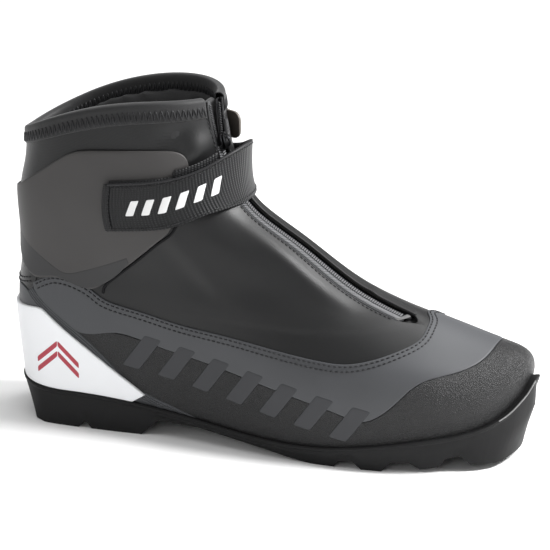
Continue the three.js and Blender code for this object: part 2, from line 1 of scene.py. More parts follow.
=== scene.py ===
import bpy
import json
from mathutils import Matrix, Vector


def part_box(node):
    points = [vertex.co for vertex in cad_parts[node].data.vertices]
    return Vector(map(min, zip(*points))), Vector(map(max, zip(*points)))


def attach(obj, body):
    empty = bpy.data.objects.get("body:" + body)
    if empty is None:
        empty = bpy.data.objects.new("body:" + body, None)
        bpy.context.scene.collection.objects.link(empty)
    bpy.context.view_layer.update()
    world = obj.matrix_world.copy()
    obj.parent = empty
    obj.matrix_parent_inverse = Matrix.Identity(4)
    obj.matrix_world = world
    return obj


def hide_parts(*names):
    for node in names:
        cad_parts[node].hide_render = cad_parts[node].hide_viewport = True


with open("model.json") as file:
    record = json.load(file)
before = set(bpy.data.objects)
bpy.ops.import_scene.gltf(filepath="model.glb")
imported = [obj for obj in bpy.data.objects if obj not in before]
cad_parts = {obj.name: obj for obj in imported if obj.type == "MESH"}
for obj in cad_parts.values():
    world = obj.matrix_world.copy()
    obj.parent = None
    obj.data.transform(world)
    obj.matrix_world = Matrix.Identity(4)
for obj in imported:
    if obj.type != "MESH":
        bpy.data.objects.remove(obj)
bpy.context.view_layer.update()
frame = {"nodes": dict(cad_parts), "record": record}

import json
import math
import bpy
import numpy as np
from mathutils import Matrix, Vector

print("frame loaded:", len(frame["nodes"]), "nodes")

# lengths are millimetres from the rear of the heel, on the floor; toFrame moves them into the frame
mm = 0.001
soleLow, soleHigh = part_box("sole_body")
heelAt = soleLow.x / mm + 3.6
sideAt = (soleLow.y + soleHigh.y) / 2 / mm - 0.7
bpy.context.scene.view_settings.view_transform = "Standard"


def toFrame(points):
    return (np.asarray(points, float) + np.array([heelAt, sideAt, 0.0])) * mm


# the boot's worn shape: s goes round it and v goes up it

def curveThrough(xs, ys):  # natural cubic, held level past its ends
    x = np.array(xs, float)
    y = np.array(ys, float)
    n = len(x)
    h = np.diff(x)
    rows = np.eye(n)
    right = np.zeros(n)
    for i in range(1, n - 1):
        rows[i, i - 1] = h[i - 1]
        rows[i, i] = 2 * (h[i - 1] + h[i])
        rows[i, i + 1] = h[i]
        right[i] = 6 * ((y[i + 1] - y[i]) / h[i] - (y[i] - y[i - 1]) / h[i - 1])
    bend = np.linalg.solve(rows, right)

    def curve(at):
        q = np.clip(np.asarray(at, float), x[0], x[-1])
        i = np.clip(np.searchsorted(x, q) - 1, 0, n - 2)
        a = (x[i + 1] - q) / h[i]
        b = 1 - a
        return a * y[i] + b * y[i + 1] + ((a**3 - a) * bend[i] + (b**3 - b) * bend[i + 1]) * h[i] ** 2 / 6

    return curve


def smooth(low, high, x):
    t = np.clip((np.asarray(x, float) - low) / (high - low), 0, 1)
    return t * t * (3 - 2 * t)


levels = [0, 0.1, 0.2, 0.3, 0.4, 0.5, 0.6, 0.7, 0.8, 0.9, 1]
lastShape = dict(
    frontX=[295, 297.4, 287.8, 264.8, 233, 199, 168, 139.8, 126.6, 121, 118],
    frontZ=[40, 52, 65.4, 74.5, 84, 97, 114.5, 130.6, 151.2, 172, 190],
    rearX=[2.6, 1.0, -0.4, -1.4, -0.9, 1.0, 2.2, 1.5, 1, 4, 5],
    rearZ=[23, 37, 50, 63, 77, 91, 105, 120, 134, 148, 164.5],
    bluntOuter=[34, 33, 36, 44, 44, 38, 32, 28, 24, 24, 24],
    bluntInner=[24, 25, 30, 40, 42, 36, 30, 26, 24, 24, 24],
)
frontX, frontZ, rearX, rearZ, bluntOuter, bluntInner = [curveThrough(levels, row)
                                                        for row in lastShape.values()]
rim = curveThrough([-5, 40, 87, 127, 171, 208, 249, 279, 296],
                   [23.5, 21.5, 16.8, 11.6, 8.2, 11, 18.3, 26, 40])
widthAt = [-5, 25, 60, 100, 130, 170, 205, 240, 270, 300]
outerHalf = curveThrough(widthAt, [34, 34, 33.5, 33.5, 37.5, 45, 49, 48, 44.5, 42])
innerHalf = curveThrough(widthAt, [34, 34, 33.5, 32, 34.5, 42, 46.5, 47, 45, 42])
legHalf = curveThrough([0, 0.3, 0.45, 0.6, 0.8, 1], [36, 34.5, 33.5, 35, 38, 38.5])
bluntRear = curveThrough([0, 0.3, 0.5, 0.8, 1], [18.5, 18, 17, 20, 22])
middleY = curveThrough([-5, 120, 200, 300], [0, 0, 1, 4])
rimRear, rimFront, rimFade, collarCrown = 23, 40, 2.2, 10


def skinInside(s, v):  # s: 0 front ridge, 1 or -1 rear, positive on the outer side; v: 0 sole, 1 collar
    s = (s + 1) % 2 - 1
    t = (1 + np.cos(np.pi * s)) / 2
    back, front = rearX(v), frontX(v)
    x = back + (front - back) * t
    z = rearZ(v) + (frontZ(v) - rearZ(v)) * t
    z = z + (rim(x) - rimRear - (rimFront - rimRear) * t) * np.maximum(1 - v, 0) ** rimFade
    z = z + collarCrown * np.maximum(np.sin(np.pi * t), 0) ** 0.8 * smooth(0.75, 1, v)
    leg = smooth(0.12, 0.62, v)
    outer = s >= 0
    half = np.where(outer, outerHalf(x), innerHalf(x)) * (1 - leg) + legHalf(v) * leg
    nose = np.tanh(np.maximum(front - x, 0) / np.where(outer, bluntOuter(v), bluntInner(v)))
    heel = np.tanh(np.maximum(x - back, 0) / bluntRear(v))
    y = np.where(outer, -1, 1) * half * np.sqrt(nose * heel) + middleY(x)
    return np.stack([x, y, z], -1)


def skin(s, v):  # runs on straight below the sole edge and above the collar
    s, v = np.broadcast_arrays(np.asarray(s, float), np.asarray(v, float))
    inside = np.clip(v, 0, 1)
    step = 0.01
    point = skinInside(s, inside)
    low = (skinInside(s, inside + step) - point) / step
    high = (point - skinInside(s, inside - step)) / step
    return point + low * np.minimum(v, 0)[..., None] + high * np.maximum(v - 1, 0)[..., None]


def slopes(s, v):  # how the skin moves with s and with v
    step = 0.004
    middle = np.clip(v, step, 1 - step)
    along = (skin(s + step, middle) - skin(s - step, middle)) / (2 * step)
    up = (skin(s, middle + step) - skin(s, middle - step)) / (2 * step)
    return along, up


def normal(s, v):
    along, up = slopes(np.asarray(s, float), np.asarray(v, float))
    n = np.cross(up, along)
    return n / np.linalg.norm(n, axis=-1, keepdims=True)


def onSkin(s, v, offset=0.0):
    return skin(s, v) + normal(s, v) * np.broadcast_to(offset, np.broadcast(s, v).shape)[..., None]


def search(low, high, isUnder, halvings=28):  # halves the range towards where isUnder changes
    for _ in range(halvings):
        middle = (low + high) / 2
        under = isUnder(middle)
        low = np.where(under, middle, low)
        high = np.where(under, high, middle)
    return middle


def side(x, z):  # (s, v) at a place in side view; the inner side has the same v and -s
    x, z = np.broadcast_arrays(np.asarray(x, float), np.asarray(z, float))

    def around(v):
        back, front = rearX(v), frontX(v)
        return np.arccos(np.clip(2 * (x - back) / (front - back) - 1, -1, 1)) / np.pi

    v = search(np.full(x.shape, -0.2), np.full(x.shape, 1.15), lambda v: skin(around(v), v)[..., 2] < z)
    s = around(v)
    return (float(s), float(v)) if s.ndim == 0 else (s, v)


def sides(*places):
    return [side(x, z) for x, z in places]


def rear(z):
    return (1.0, float(search(-0.2, 1.2, lambda v: skin(1.0, v)[2] < z)))


def ridge(x):  # on the front ridge, at this distance from the heel
    return (0.0, float(search(0.08, 1.0, lambda v: frontX(v) > x)))


def acrossFront(v, y):  # s near the front ridge where the skin has this y
    v, y = np.broadcast_arrays(np.asarray(v, float), np.asarray(y, float))
    return search(np.full(v.shape, -0.6), np.full(v.shape, 0.6), lambda s: skin(s, v)[..., 1] > y)


def frontPlace(y, z):  # (s, v) near the front ridge with this y and height
    v = float(search(0.3, 1.1, lambda v: skin(float(acrossFront(v, y)), v)[2] < z))
    return (float(acrossFront(v, y)), v)


def mirrored(line):
    return [(-s, v) for s, v in line]


def overRear(half):  # the same line on both sides, joined round the heel
    return half + [(2 - s, v) for s, v in reversed(half) if s < 0.999]


def overFront(half):  # the same line on both sides, joined over the toe
    return half + mirrored((s, v) for s, v in reversed(half) if s > 0.001)


def along(points, at):  # smooth line through (s, v) points; at is 0..1 of its length
    q = np.array(points, float)
    place = skin(q[:, 0], q[:, 1])
    step = np.sqrt(np.maximum(np.linalg.norm(np.diff(place, axis=0), axis=1), 1e-6))
    knots = np.concatenate([[0], np.cumsum(step)])
    ps, pv = curveThrough(knots, q[:, 0]), curveThrough(knots, q[:, 1])
    fine = np.linspace(0, knots[-1], 1200)
    length = runAlong(skin(ps(fine), pv(fine)))
    knot = np.interp(np.asarray(at) * length[-1], length, fine)
    return np.stack([ps(knot), pv(knot)], -1)


def runAlong(places):  # distance from the first place to each
    return np.concatenate([[0], np.cumsum(np.linalg.norm(np.diff(places, axis=0), axis=1))])


def lengthOf(points):
    line = along(points, np.linspace(0, 1, 400))
    return np.linalg.norm(np.diff(skin(line[:, 0], line[:, 1]), axis=0), axis=1).sum()


def inset(line, distance):  # the same line moved sideways on the skin, to its left seen from outside
    s, v = line[:, 0], line[:, 1]
    place = skin(s, v)
    forward = np.gradient(place, axis=0)
    sideways = np.cross(normal(s, v), forward)
    sideways *= distance / np.linalg.norm(sideways, axis=1, keepdims=True)
    du, dv = slopes(s, v)
    a, b, c = (du * du).sum(1), (du * dv).sum(1), (dv * dv).sum(1)
    p, q = (du * sideways).sum(1), (dv * sideways).sum(1)
    det = a * c - b * b
    return np.stack([s + (c * p - b * q) / det, v + (a * q - b * p) / det], -1)


# what makes the pieces

def newObject(name, points, faces, material, uv=None, inFrame=False):
    mesh = bpy.data.meshes.new(name)
    place = np.asarray(points, float) if inFrame else toFrame(points)
    mesh.from_pydata(place.tolist(), [], faces)
    mesh.polygons.foreach_set("use_smooth", [True] * len(mesh.polygons))
    if uv is not None:
        layer = mesh.uv_layers.new(name="cloth")
        corners = np.array([loop.vertex_index for loop in mesh.loops])
        layer.data.foreach_set("uv", (np.asarray(uv)[corners] * mm).ravel())
    mesh.validate()
    mesh.update()
    piece = bpy.data.objects.new(name, mesh)
    bpy.context.scene.collection.objects.link(piece)
    mesh.materials.append(material)
    return piece


def gridFaces(rows, cols, flip=False, closed=False):
    faces = []
    for j in range(rows - 1):
        for i in range(cols if closed else cols - 1):
            k = (i + 1) % cols
            face = [j * cols + i, j * cols + k, (j + 1) * cols + k, (j + 1) * cols + i]
            faces.append(face[::-1] if flip else face)
    return faces


def clothUv(points, straight=False):  # millimetres along the rows and up the columns
    u = np.zeros(points.shape[:2])
    w = np.zeros(points.shape[:2])
    u[:, 1:] = np.cumsum(np.linalg.norm(np.diff(points, axis=1), axis=2), axis=1)
    u -= u[:, u.shape[1] // 2][:, None]
    if straight:
        u[:] = u[len(u) // 2]
    w[1:] = np.cumsum(np.linalg.norm(np.diff(points, axis=0), axis=2), axis=0)
    return np.stack([u, w], -1).reshape(-1, 2)


def facesIn(points, outward):  # whether faces along rows and up columns would point inwards
    j, i = [min(count // 2, count - 2) for count in points.shape[:2]]
    a = points[j, i + 1] - points[j, i]
    b = points[j + 1, i] - points[j, i]
    return np.dot(np.cross(a, b), outward[j, i]) < 0


def stack(piece, wall=None, smoothing=1, bevel=None):
    if wall:
        solid = piece.modifiers.new("wall", "SOLIDIFY")
        solid.thickness = wall * mm
        solid.offset = -1
    if bevel:
        edge = piece.modifiers.new("edge", "BEVEL")
        edge.width = bevel * mm
        edge.segments = 2
        edge.limit_method = "ANGLE"
        edge.angle_limit = math.radians(35)
        edge.harden_normals = True
    if smoothing:
        sub = piece.modifiers.new("smooth", "SUBSURF")
        sub.levels = smoothing
        sub.render_levels = smoothing
    return piece


def done(piece, slotName, *nodes, body="boot"):
    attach(piece, body)
    if nodes:
        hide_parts(*nodes)
    return piece


def skinGrid(name, s, v, offset, material, wall=None, smoothing=1):
    points = onSkin(s, v, offset)
    flip = facesIn(points, normal(s, v))
    uv = clothUv(points, material.name == "webbing")
    piece = newObject(name, points.reshape(-1, 3), gridFaces(*s.shape, flip=flip), material, uv)
    return stack(piece, wall, smoothing)


def between(low, high, at, w):  # (s, v) at 0..1 along and 0..1 from the low line to the high one
    a, b = along(low, at), along(high, at)
    return [a[None, :, k] * (1 - w) + b[None, :, k] * w for k in (0, 1)]


def panel(name, low, high, material, fit, relief=None):
    length = max(lengthOf(high), lengthOf(low))
    columns = int(length / fit["pitch"])
    ends = fit["edge"] / length
    at = np.concatenate([[0], ends + (1 - 2 * ends) * np.linspace(0, 1, columns), [1]])
    a, b = along(low, at), along(high, at)
    widths = np.linalg.norm(skin(b[:, 0], b[:, 1]) - skin(a[:, 0], a[:, 1]), axis=1)
    near = np.minimum(fit["edge"] / np.maximum(widths, 0.01), 0.2)
    middle = near[None] + (1 - 2 * near[None]) * np.linspace(0, 1, fit["rows"])[:, None]
    w = np.concatenate([np.zeros((1, len(at))), middle, np.ones((1, len(at)))])
    s, v = between(low, high, at, w)
    offset = np.full(s.shape, fit["top"], float)
    if relief is not None:
        offset = offset + relief(s, v, w)
    return skinGrid(name, s, v, offset, material, fit["wall"])


def lay(name, low, high, finish, fit, slotName, *nodes, relief=None, body="boot"):
    return done(panel(name, low, high, mats[finish], fit, relief), slotName, *nodes, body=body)


# many short rounded pieces in one object
def capsules(name, starts, ends, radius, material, edges=5, arch=0.0, ups=None):
    shape = [(0.0, 0.35), (0.16, 1.0), (0.84, 1.0), (1.0, 0.35)]  # how far along, how wide
    points, faces = [], []
    turns = np.arange(edges) * 2 * np.pi / edges
    for index, (a, b) in enumerate(zip(starts, ends)):
        way = (b - a) / max(np.linalg.norm(b - a), 1e-6)
        across = np.cross(way, [0.31, 0.52, 0.79])
        across /= np.linalg.norm(across)
        over = np.cross(way, across)
        lift = np.zeros(3) if ups is None else ups[index] * arch
        base = len(points)
        for t, wide in shape:
            centre = a + (b - a) * t + lift * math.sin(math.pi * t)
            for turn in turns:
                points.append(centre + radius * wide * (across * math.cos(turn) + over * math.sin(turn)))
        for ring in range(len(shape) - 1):
            for k in range(edges):
                n = (k + 1) % edges
                faces.append([base + ring * edges + k, base + ring * edges + n,
                              base + (ring + 1) * edges + n, base + (ring + 1) * edges + k])
        faces.append([base + k for k in reversed(range(edges))])
        faces.append([base + (len(shape) - 1) * edges + k for k in range(edges)])
    return newObject(name, points, faces, material)


def onLine(line, lift):
    return onSkin(line[:, 0], line[:, 1], lift)


def sampled(at, run, rows):
    return np.stack([np.interp(at, run, rows[:, k]) for k in range(3)], -1)


def stitchRow(name, line, lift, pitch=3.0, length=2.1, radius=0.42, body="boot"):
    place = onLine(line, lift)
    run = runAlong(place)
    starts = np.arange(pitch / 2, run[-1] - length, pitch)
    ups = sampled(starts + length / 2, run, normal(line[:, 0], line[:, 1]))
    row = capsules(name, sampled(starts, run, place), sampled(starts + length, run, place), radius,
                   mats["thread"], arch=0.25, ups=ups)
    return done(row, "black_thread", body=body)


def wire(name, places, radius, material):
    data = bpy.data.curves.new(name, "CURVE")
    data.dimensions = "3D"
    data.bevel_depth = radius * mm
    data.bevel_resolution = 2
    data.use_fill_caps = True
    spline = data.splines.new("POLY")
    spline.points.add(len(places) - 1)
    for point, place in zip(spline.points, toFrame(places)):
        point.co = (*place, 1)
    spline.use_smooth = True
    data.materials.append(material)
    piece = bpy.data.objects.new(name, data)
    bpy.context.scene.collection.objects.link(piece)
    return piece


# shader helpers

class Sock:
    def __init__(self, shade, socket):
        self.shade = shade
        self.socket = socket

    def math(self, operation, other=None, swap=False):
        pair = [self] if other is None else [self, other]
        pair = pair[::-1] if swap else pair
        return self.shade.node("ShaderNodeMath", {"operation": operation}, dict(enumerate(pair)))

    def __add__(self, other):
        return self.math("ADD", other)

    def __sub__(self, other):
        return self.math("SUBTRACT", other)

    def __rsub__(self, other):
        return self.math("SUBTRACT", other, swap=True)

    def __mul__(self, other):
        return self.math("MULTIPLY", other)

    __radd__ = __add__
    __rmul__ = __mul__


class Shade:
    def __init__(self, name):
        self.material = bpy.data.materials.new(name)
        self.material.use_nodes = True
        self.tree = self.material.node_tree
        self.tree.nodes.clear()
        out = self.tree.nodes.new("ShaderNodeOutputMaterial")
        self.body = self.tree.nodes.new("ShaderNodeBsdfPrincipled")
        self.tree.links.new(self.body.outputs[0], out.inputs["Surface"])

    def node(self, kind, settings=None, inputs=None, take=0):
        made = self.tree.nodes.new(kind)
        for key, value in (settings or {}).items():
            if key == "stops":
                for point, (place, shade) in zip(made.color_ramp.elements, value):
                    point.position = place
                    point.color = (shade, shade, shade, 1)
            else:
                setattr(made, key, value)
        for key, value in (inputs or {}).items():
            if isinstance(value, Sock):
                self.tree.links.new(value.socket, made.inputs[key])
            else:
                made.inputs[key].default_value = value
        return Sock(self, made.outputs[take])

    def place(self):
        return self.node("ShaderNodeTexCoord", take="Object")

    def cloth(self):  # millimetre coordinates that follow the piece
        both = self.node("ShaderNodeUVMap", {"uv_map": "cloth"})
        u = self.node("ShaderNodeSeparateXYZ", {}, {0: both}, take=0)
        return u, self.node("ShaderNodeSeparateXYZ", {}, {0: both}, take=1)

    def wave(self, value, pitch):
        return (value * (2 * math.pi / (pitch * mm))).math("SINE")

    def noise(self, vector, size, detail=2.0, rough=0.5):
        inputs = {"Vector": vector, "Scale": 1 / (size * mm), "Detail": detail, "Roughness": rough}
        return self.node("ShaderNodeTexNoise", {}, inputs)

    def ramp(self, value, *stops):
        return self.node("ShaderNodeValToRGB", {"stops": stops}, {"Fac": value})

    def mix(self, factor, a, b):
        a = (*a, 1) if isinstance(a, tuple) else a
        b = (*b, 1) if isinstance(b, tuple) else b
        return self.node("ShaderNodeMix", {"data_type": "RGBA"}, {0: factor, 6: a, 7: b}, take=2)

    def bump(self, height, distance, strength=1.0):
        inputs = {"Height": height, "Distance": distance * mm, "Strength": strength}
        return self.node("ShaderNodeBump", {}, inputs)

    def finish(self, **values):
        names = dict(colour="Base Color", rough="Roughness", metal="Metallic", bump="Normal",
                     sheen="Sheen Weight", sheenRough="Sheen Roughness", specular="Specular IOR Level")
        for key, value in values.items():
            socket = self.body.inputs[names[key]]
            if isinstance(value, Sock):
                self.tree.links.new(value.socket, socket)
            else:
                socket.default_value = (*value, 1) if isinstance(value, tuple) else value
        return self.material


# materials

def softshellFinish():
    s = Shade("softshell")
    u, w = s.cloth()
    twill = s.wave(u * 0.8 + w, 0.95) * 0.55 + s.wave(u - w * 0.8, 0.8) * 0.45
    broad = s.noise(s.place(), 30, 3)
    speck = s.noise(s.place(), 0.9, 2)
    colour = s.mix(broad * 0.6 + speck * 0.4, (0.005, 0.0052, 0.0055), (0.0108, 0.0109, 0.0115))
    return s.finish(colour=colour, rough=0.3 + speck * 0.14, bump=s.bump(twill, 0.05, 0.5), sheen=0.04,
                    sheenRough=0.4, specular=0.34)


def overlayFinish():
    s = Shade("greyOverlay")
    fine = s.noise(s.place(), 0.7, 3)
    broad = s.noise(s.place(), 30, 2)
    colour = s.mix(broad, (0.050, 0.052, 0.056), (0.062, 0.064, 0.069))
    return s.finish(colour=colour, rough=0.46 + fine * 0.14, bump=s.bump(fine, 0.06, 0.5), specular=0.36)


def randFinish():
    s = Shade("toeRand")
    cells = s.node("ShaderNodeTexVoronoi", {}, {"Vector": s.place(), "Scale": 1 / (0.5 * mm)})
    fine = s.noise(s.place(), 0.32, 3)
    grain = cells * 0.7 + fine * 0.6
    speck = s.ramp(fine, (0.45, 0.0), (0.75, 1.0))
    return s.finish(colour=s.mix(speck, (0.002, 0.002, 0.0022), (0.036, 0.036, 0.038)),
                    rough=0.3 + cells * 0.2, bump=s.bump(grain, 0.45, 0.9), specular=0.4)


def plasticFinish(name, dark, light, rough, specular=0.4):
    s = Shade(name)
    broad = s.noise(s.place(), 38, 2)
    fine = s.noise(s.place(), 0.6, 3)
    return s.finish(colour=s.mix(broad, dark, light), rough=rough + fine * 0.1,
                    bump=s.bump(fine, 0.03, 0.6), specular=specular)


def rubberFinish():
    s = Shade("soleRubber")
    fine = s.noise(s.place(), 0.8, 4)
    scuff = s.noise(s.place(), 9, 5, 0.7)
    return s.finish(colour=s.mix(scuff, (0.006, 0.006, 0.0063), (0.014, 0.014, 0.0145)),
                    rough=0.42 + scuff * 0.2, bump=s.bump(fine, 0.08, 0.5), specular=0.14)


def webbingFinish():
    s = Shade("webbing")
    u, w = s.cloth()
    rib = s.wave(u, 1.9)
    pick = s.wave(w, 1.3)
    weave = rib * 0.55 + pick * 0.2 + pick * rib * 0.35
    shade = s.mix(weave * 0.45 + 0.5, (0.002, 0.002, 0.0022), (0.019, 0.0195, 0.021))
    return s.finish(colour=shade, rough=0.42, bump=s.bump(weave, 0.32, 0.8), sheen=0.04, sheenRough=0.4,
                    specular=0.24)


def liningFinish():
    s = Shade("lining")
    fuzz = s.noise(s.place(), 0.7, 4)
    folds = s.noise(s.place(), 11, 2)
    return s.finish(colour=s.mix(fuzz, (0.006, 0.006, 0.0065), (0.017, 0.017, 0.018)), rough=0.62,
                    bump=s.bump(fuzz * 0.2 + folds, 0.9, 0.5), sheen=0.15, sheenRough=0.5, specular=0.35)


def threadFinish(name, dark, light, rough=0.5, size=0.35, specular=0.4):
    s = Shade(name)
    fine = s.noise(s.place(), size, 2)
    return s.finish(colour=s.mix(fine, dark, light), rough=rough, bump=s.bump(fine, 0.05, 0.6),
                    specular=specular)


def metalFinish(name, dark, light):
    s = Shade(name)
    fine = s.noise(s.place(), 1.5, 3)
    return s.finish(colour=s.mix(fine, dark, light), rough=0.26 + fine * 0.14, metal=1.0)


mats = dict(
    softshell=softshellFinish(), overlay=overlayFinish(), rand=randFinish(), webbing=webbingFinish(),
    lining=liningFinish(), rubber=rubberFinish(),
    print=plasticFinish("sidePrint", (0.037, 0.038, 0.041), (0.046, 0.047, 0.051), 0.5, 0.25),
    cuff=plasticFinish("cuffPlastic", (0.043, 0.041, 0.0405), (0.056, 0.0535, 0.0525), 0.44, 0.3),
    bronze=plasticFinish("warmPlastic", (0.085, 0.076, 0.066), (0.11, 0.098, 0.085), 0.4),
    # painted shade: a darker copy of the cuff plastic
    paintedCuffShade=plasticFinish("cuffShade", (0.030, 0.030, 0.031), (0.038, 0.038, 0.039), 0.46, 0.3),
    cap=plasticFinish("whiteCap", (0.80, 0.81, 0.83), (0.86, 0.87, 0.885), 0.34),
    plastic=plasticFinish("blackPlastic", (0.015, 0.015, 0.016), (0.022, 0.022, 0.024), 0.4),
    board=plasticFinish("fibreBoard", (0.3, 0.25, 0.18), (0.36, 0.3, 0.21), 0.8),
    thread=threadFinish("blackThread", (0.006, 0.006, 0.007), (0.014, 0.014, 0.016)),
    zipTape=threadFinish("zipTape", (0.03, 0.031, 0.033), (0.06, 0.061, 0.065), 0.6),
    coil=threadFinish("zipCoil", (0.085, 0.086, 0.09), (0.15, 0.152, 0.158), 0.42),
    # painted shadow: a near-black cloth for the shaded gap beside the zip chain and along the cuff's lower
    # front edge
    shadow=threadFinish("paintedShadowCloth", (0.004, 0.004, 0.0045), (0.008, 0.008, 0.009), 0.8, specular=0.2),
    piping=threadFinish("glossPiping", (0.008, 0.008, 0.009), (0.012, 0.012, 0.013), 0.24, specular=0.6),
    # painted highlight: a light grey for the bright line along the toe lip's bead
    beadHighlight=threadFinish("paintedBeadHighlight", (0.12, 0.12, 0.12), (0.2, 0.2, 0.2), 0.3),
    tack=threadFinish("paleThread", (0.14, 0.14, 0.14), (0.26, 0.26, 0.26)),
    white=threadFinish("whitePrint", (0.72, 0.72, 0.72), (0.80, 0.80, 0.80), 0.5, 0.8),
    red=threadFinish("redPrint", (0.36, 0.03, 0.05), (0.42, 0.045, 0.065), 0.45, 0.8),
    steel=metalFinish("steel", (0.42, 0.43, 0.45), (0.58, 0.59, 0.61)),
    blackSteel=metalFinish("blackSteel", (0.03, 0.03, 0.032), (0.07, 0.07, 0.075)),
)
print("materials:", len(mats))

# camera, lights and floor

shot = dict(azimuth=19, elevation=18, distance=1.8, target=(150, 0, 90), across=0.30607, sensor=36)
azimuth, elevation = math.radians(shot["azimuth"]), math.radians(shot["elevation"])
back = Vector((math.sin(azimuth) * math.cos(elevation), -math.cos(azimuth) * math.cos(elevation),
               math.sin(elevation)))
camera = bpy.data.objects.new("camera", bpy.data.cameras.new("camera"))
camera.data.sensor_width = shot["sensor"]
camera.data.lens = shot["sensor"] * shot["distance"] / shot["across"]
camera.data.clip_end = 20
camera.location = Vector(toFrame([shot["target"]])[0]) + back * shot["distance"]
camera.rotation_euler = (math.pi / 2 - elevation, 0, azimuth)
bpy.context.scene.collection.objects.link(camera)
bpy.context.scene.camera = camera
lampAim = Vector((0.0, 0.0, 0.08))


def softBox(name, place, size, power):
    lamp = bpy.data.lights.new(name, "AREA")
    lamp.shape = "RECTANGLE"
    lamp.size, lamp.size_y = size
    lamp.energy = power
    piece = bpy.data.objects.new(name, lamp)
    piece.location = place
    piece.rotation_euler = (lampAim - Vector(place)).to_track_quat("-Z", "Y").to_euler()
    bpy.context.scene.collection.objects.link(piece)


lamps = dict(  # place and size in metres, then watts
    topLight=((0.0, 0.5, 2.4), (4.2, 3.6), 52), frontLight=((0.2, -1.7, 0.7), (0.9, 0.6), 4.0),
    toeLight=((0.95, 0.18, 0.95), (0.36, 0.36), 30), backLight=((0.5, 0.75, 0.95), (0.5, 0.4), 5),
    legLight=((1.5, -0.1, 0.55), (0.22, 0.3), 2.5), heelLight=((-1.2, -0.9, 0.5), (0.6, 0.9), 3.0),
)
for name, (place, size, power) in lamps.items():
    softBox(name, place, size, power)
worldStrength = 0.2
world = bpy.data.worlds.new("studio")
bpy.context.scene.world = world
world.use_nodes = True
world.node_tree.nodes["Background"].inputs[0].default_value = (1, 1, 1, 1)
world.node_tree.nodes["Background"].inputs[1].default_value = worldStrength

floorShade = Shade("paleFloor")
floorTone = floorShade.noise(floorShade.place(), 400, 1)
floorColour = floorShade.mix(floorTone, (0.94, 0.94, 0.94), (0.95, 0.95, 0.95))
floorMaterial = floorShade.finish(colour=floorColour, rough=0.95, specular=0.05)
reach = 8.0  # half the floor's side, in metres
corners = [(-reach, -reach, 0), (reach, -reach, 0), (reach, reach, 0), (-reach, reach, 0)]
floor = newObject("floor", corners, [[0, 1, 2, 3]], floorMaterial, inFrame=True)

# lines that several panels share

seam = sides((16.8, 80.9), (31.8, 87.4), (52.5, 82.2), (60.8, 76.8), (82.3, 71.8), (104.9, 67.1),
             (130.5, 64.3), (161.6, 60.6), (190, 57.8), (204.2, 57.6), (218.3, 60.2), (232.2, 64.7))
seam += [(0.149, 0.337), (0.075, 0.366), (0.0, 0.382)]
wholeSeam = seam + [(-0.045, 0.388), (-0.1, 0.376), (-0.165, 0.34)] + mirrored(reversed(seam[:-3]))
bandLine = [(16.3, 77.5), (45.2, 55.3), (73.4, 30.2), (93.5, 20.2), (115.5, 13.3)]
bandRearLine = [(x - 3.4, z - 2.5) for x, z in bandLine]
underLip = -0.012  # how far the panels run down behind the sole's lip, as a level


def atSole(*places):
    return [(side(x, 20)[0], underLip) for x in places]


# quarter and rand

quarterFit = dict(top=0.8, wall=1.1, rows=9, pitch=3.4, edge=0.8)
randFit = dict(top=0.55, wall=0.85, rows=9, pitch=3.4, edge=0.8)
randTop = sides((45.5, 55.6), (67, 57.8), (90, 53.2), (120, 47.4), (160, 39.6), (190, 33.7), (205, 30),
                (215.8, 27.6), (223, 30), (232, 37), (241, 46.5), (249, 51.8), (262, 54.7), (271, 57.2),
                (275, 59.4)) + [ridge(277.5)]
quarterLow = [side(17.5, 77.4)] + randTop
randLow = sides((47, 54), (73.4, 30.2), (93.5, 20.2), (115.5, 12.8))
randLow += atSole(140, 175, 205, 230, 250, 270, 285) + [(0.0, underLip)]
lay("quarterOverlay", overFront(quarterLow), wholeSeam, "overlay", quarterFit, "grey_overlay",
    "quarter_overlay")
lay("toeRand", overFront(randLow), overFront(randTop), "rand", randFit, "toe_rand", "toe_rand")
seamFine = along(wholeSeam, np.linspace(0, 1, 900))
for row, distance in enumerate((1.6, 4.3)):
    stitchRow(f"seamStitches{row + 1}", inset(seamFine, -distance), 0.82)
print("quarter and rand")

# gaiter

zipFit = dict(low=0.396, openFrom=0.86, slit=5.6, open=2.2)
zipMiddle = curveThrough([0.4, 0.47, 0.55, 0.62, 0.68, 0.76, 0.85, 1],
                         [-8.2, -8, -6.8, -5.6, -5, -5.6, -7, -6])
gaiterFit = dict(low=0.2, wall=1.2)


def zipOpening(v):
    return zipFit["open"] * smooth(zipFit["openFrom"], 1, v)


def roundHeel(v, middle, opened, share):  # s from one edge of the slit, round the heel, to its other edge
    left, right = acrossFront(v, middle - opened), acrossFront(v, middle + opened)
    return left + (right + 2 - left) * share


def zipSide(v, d):  # s at this distance from the middle of the zip, which parts towards the collar
    return acrossFront(v, zipMiddle(v) + d + np.sign(d) * zipOpening(v))


def hump(value, middle, spread):
    return np.exp(-(((value - middle) / spread) ** 2))


def folds(points, v):  # soft ridges where the cloth is pulled towards the zip and the strap
    x, y, z = points[..., 0], points[..., 1], points[..., 2]
    d = y - zipMiddle(v)
    instep = smooth(0.42, 0.54, v) * (1 - smooth(0.58, 0.78, v))
    ridge = 1.9 * hump(d, -13, 5) - 0.7 * hump(d, -26, 8)
    leg = 2.0 * hump(np.hypot(x - 113, z - 166), 0, 8) - 1.4 * hump(np.hypot(x - 103, z - 172), 0, 9)
    ankle = 1.0 * hump(x + 0.9 * z, 208, 7) - 0.5 * hump(x + 0.9 * z, 194, 8)
    drape = 0.45 * np.sin((z - 0.28 * x) / 5.2 + np.sin(x / 23)) * hump(x, 175, 45) * hump(z, 78, 13)
    outer = smooth(-2, -10, y)
    return ridge * instep + (leg + ankle * instep + drape) * outer


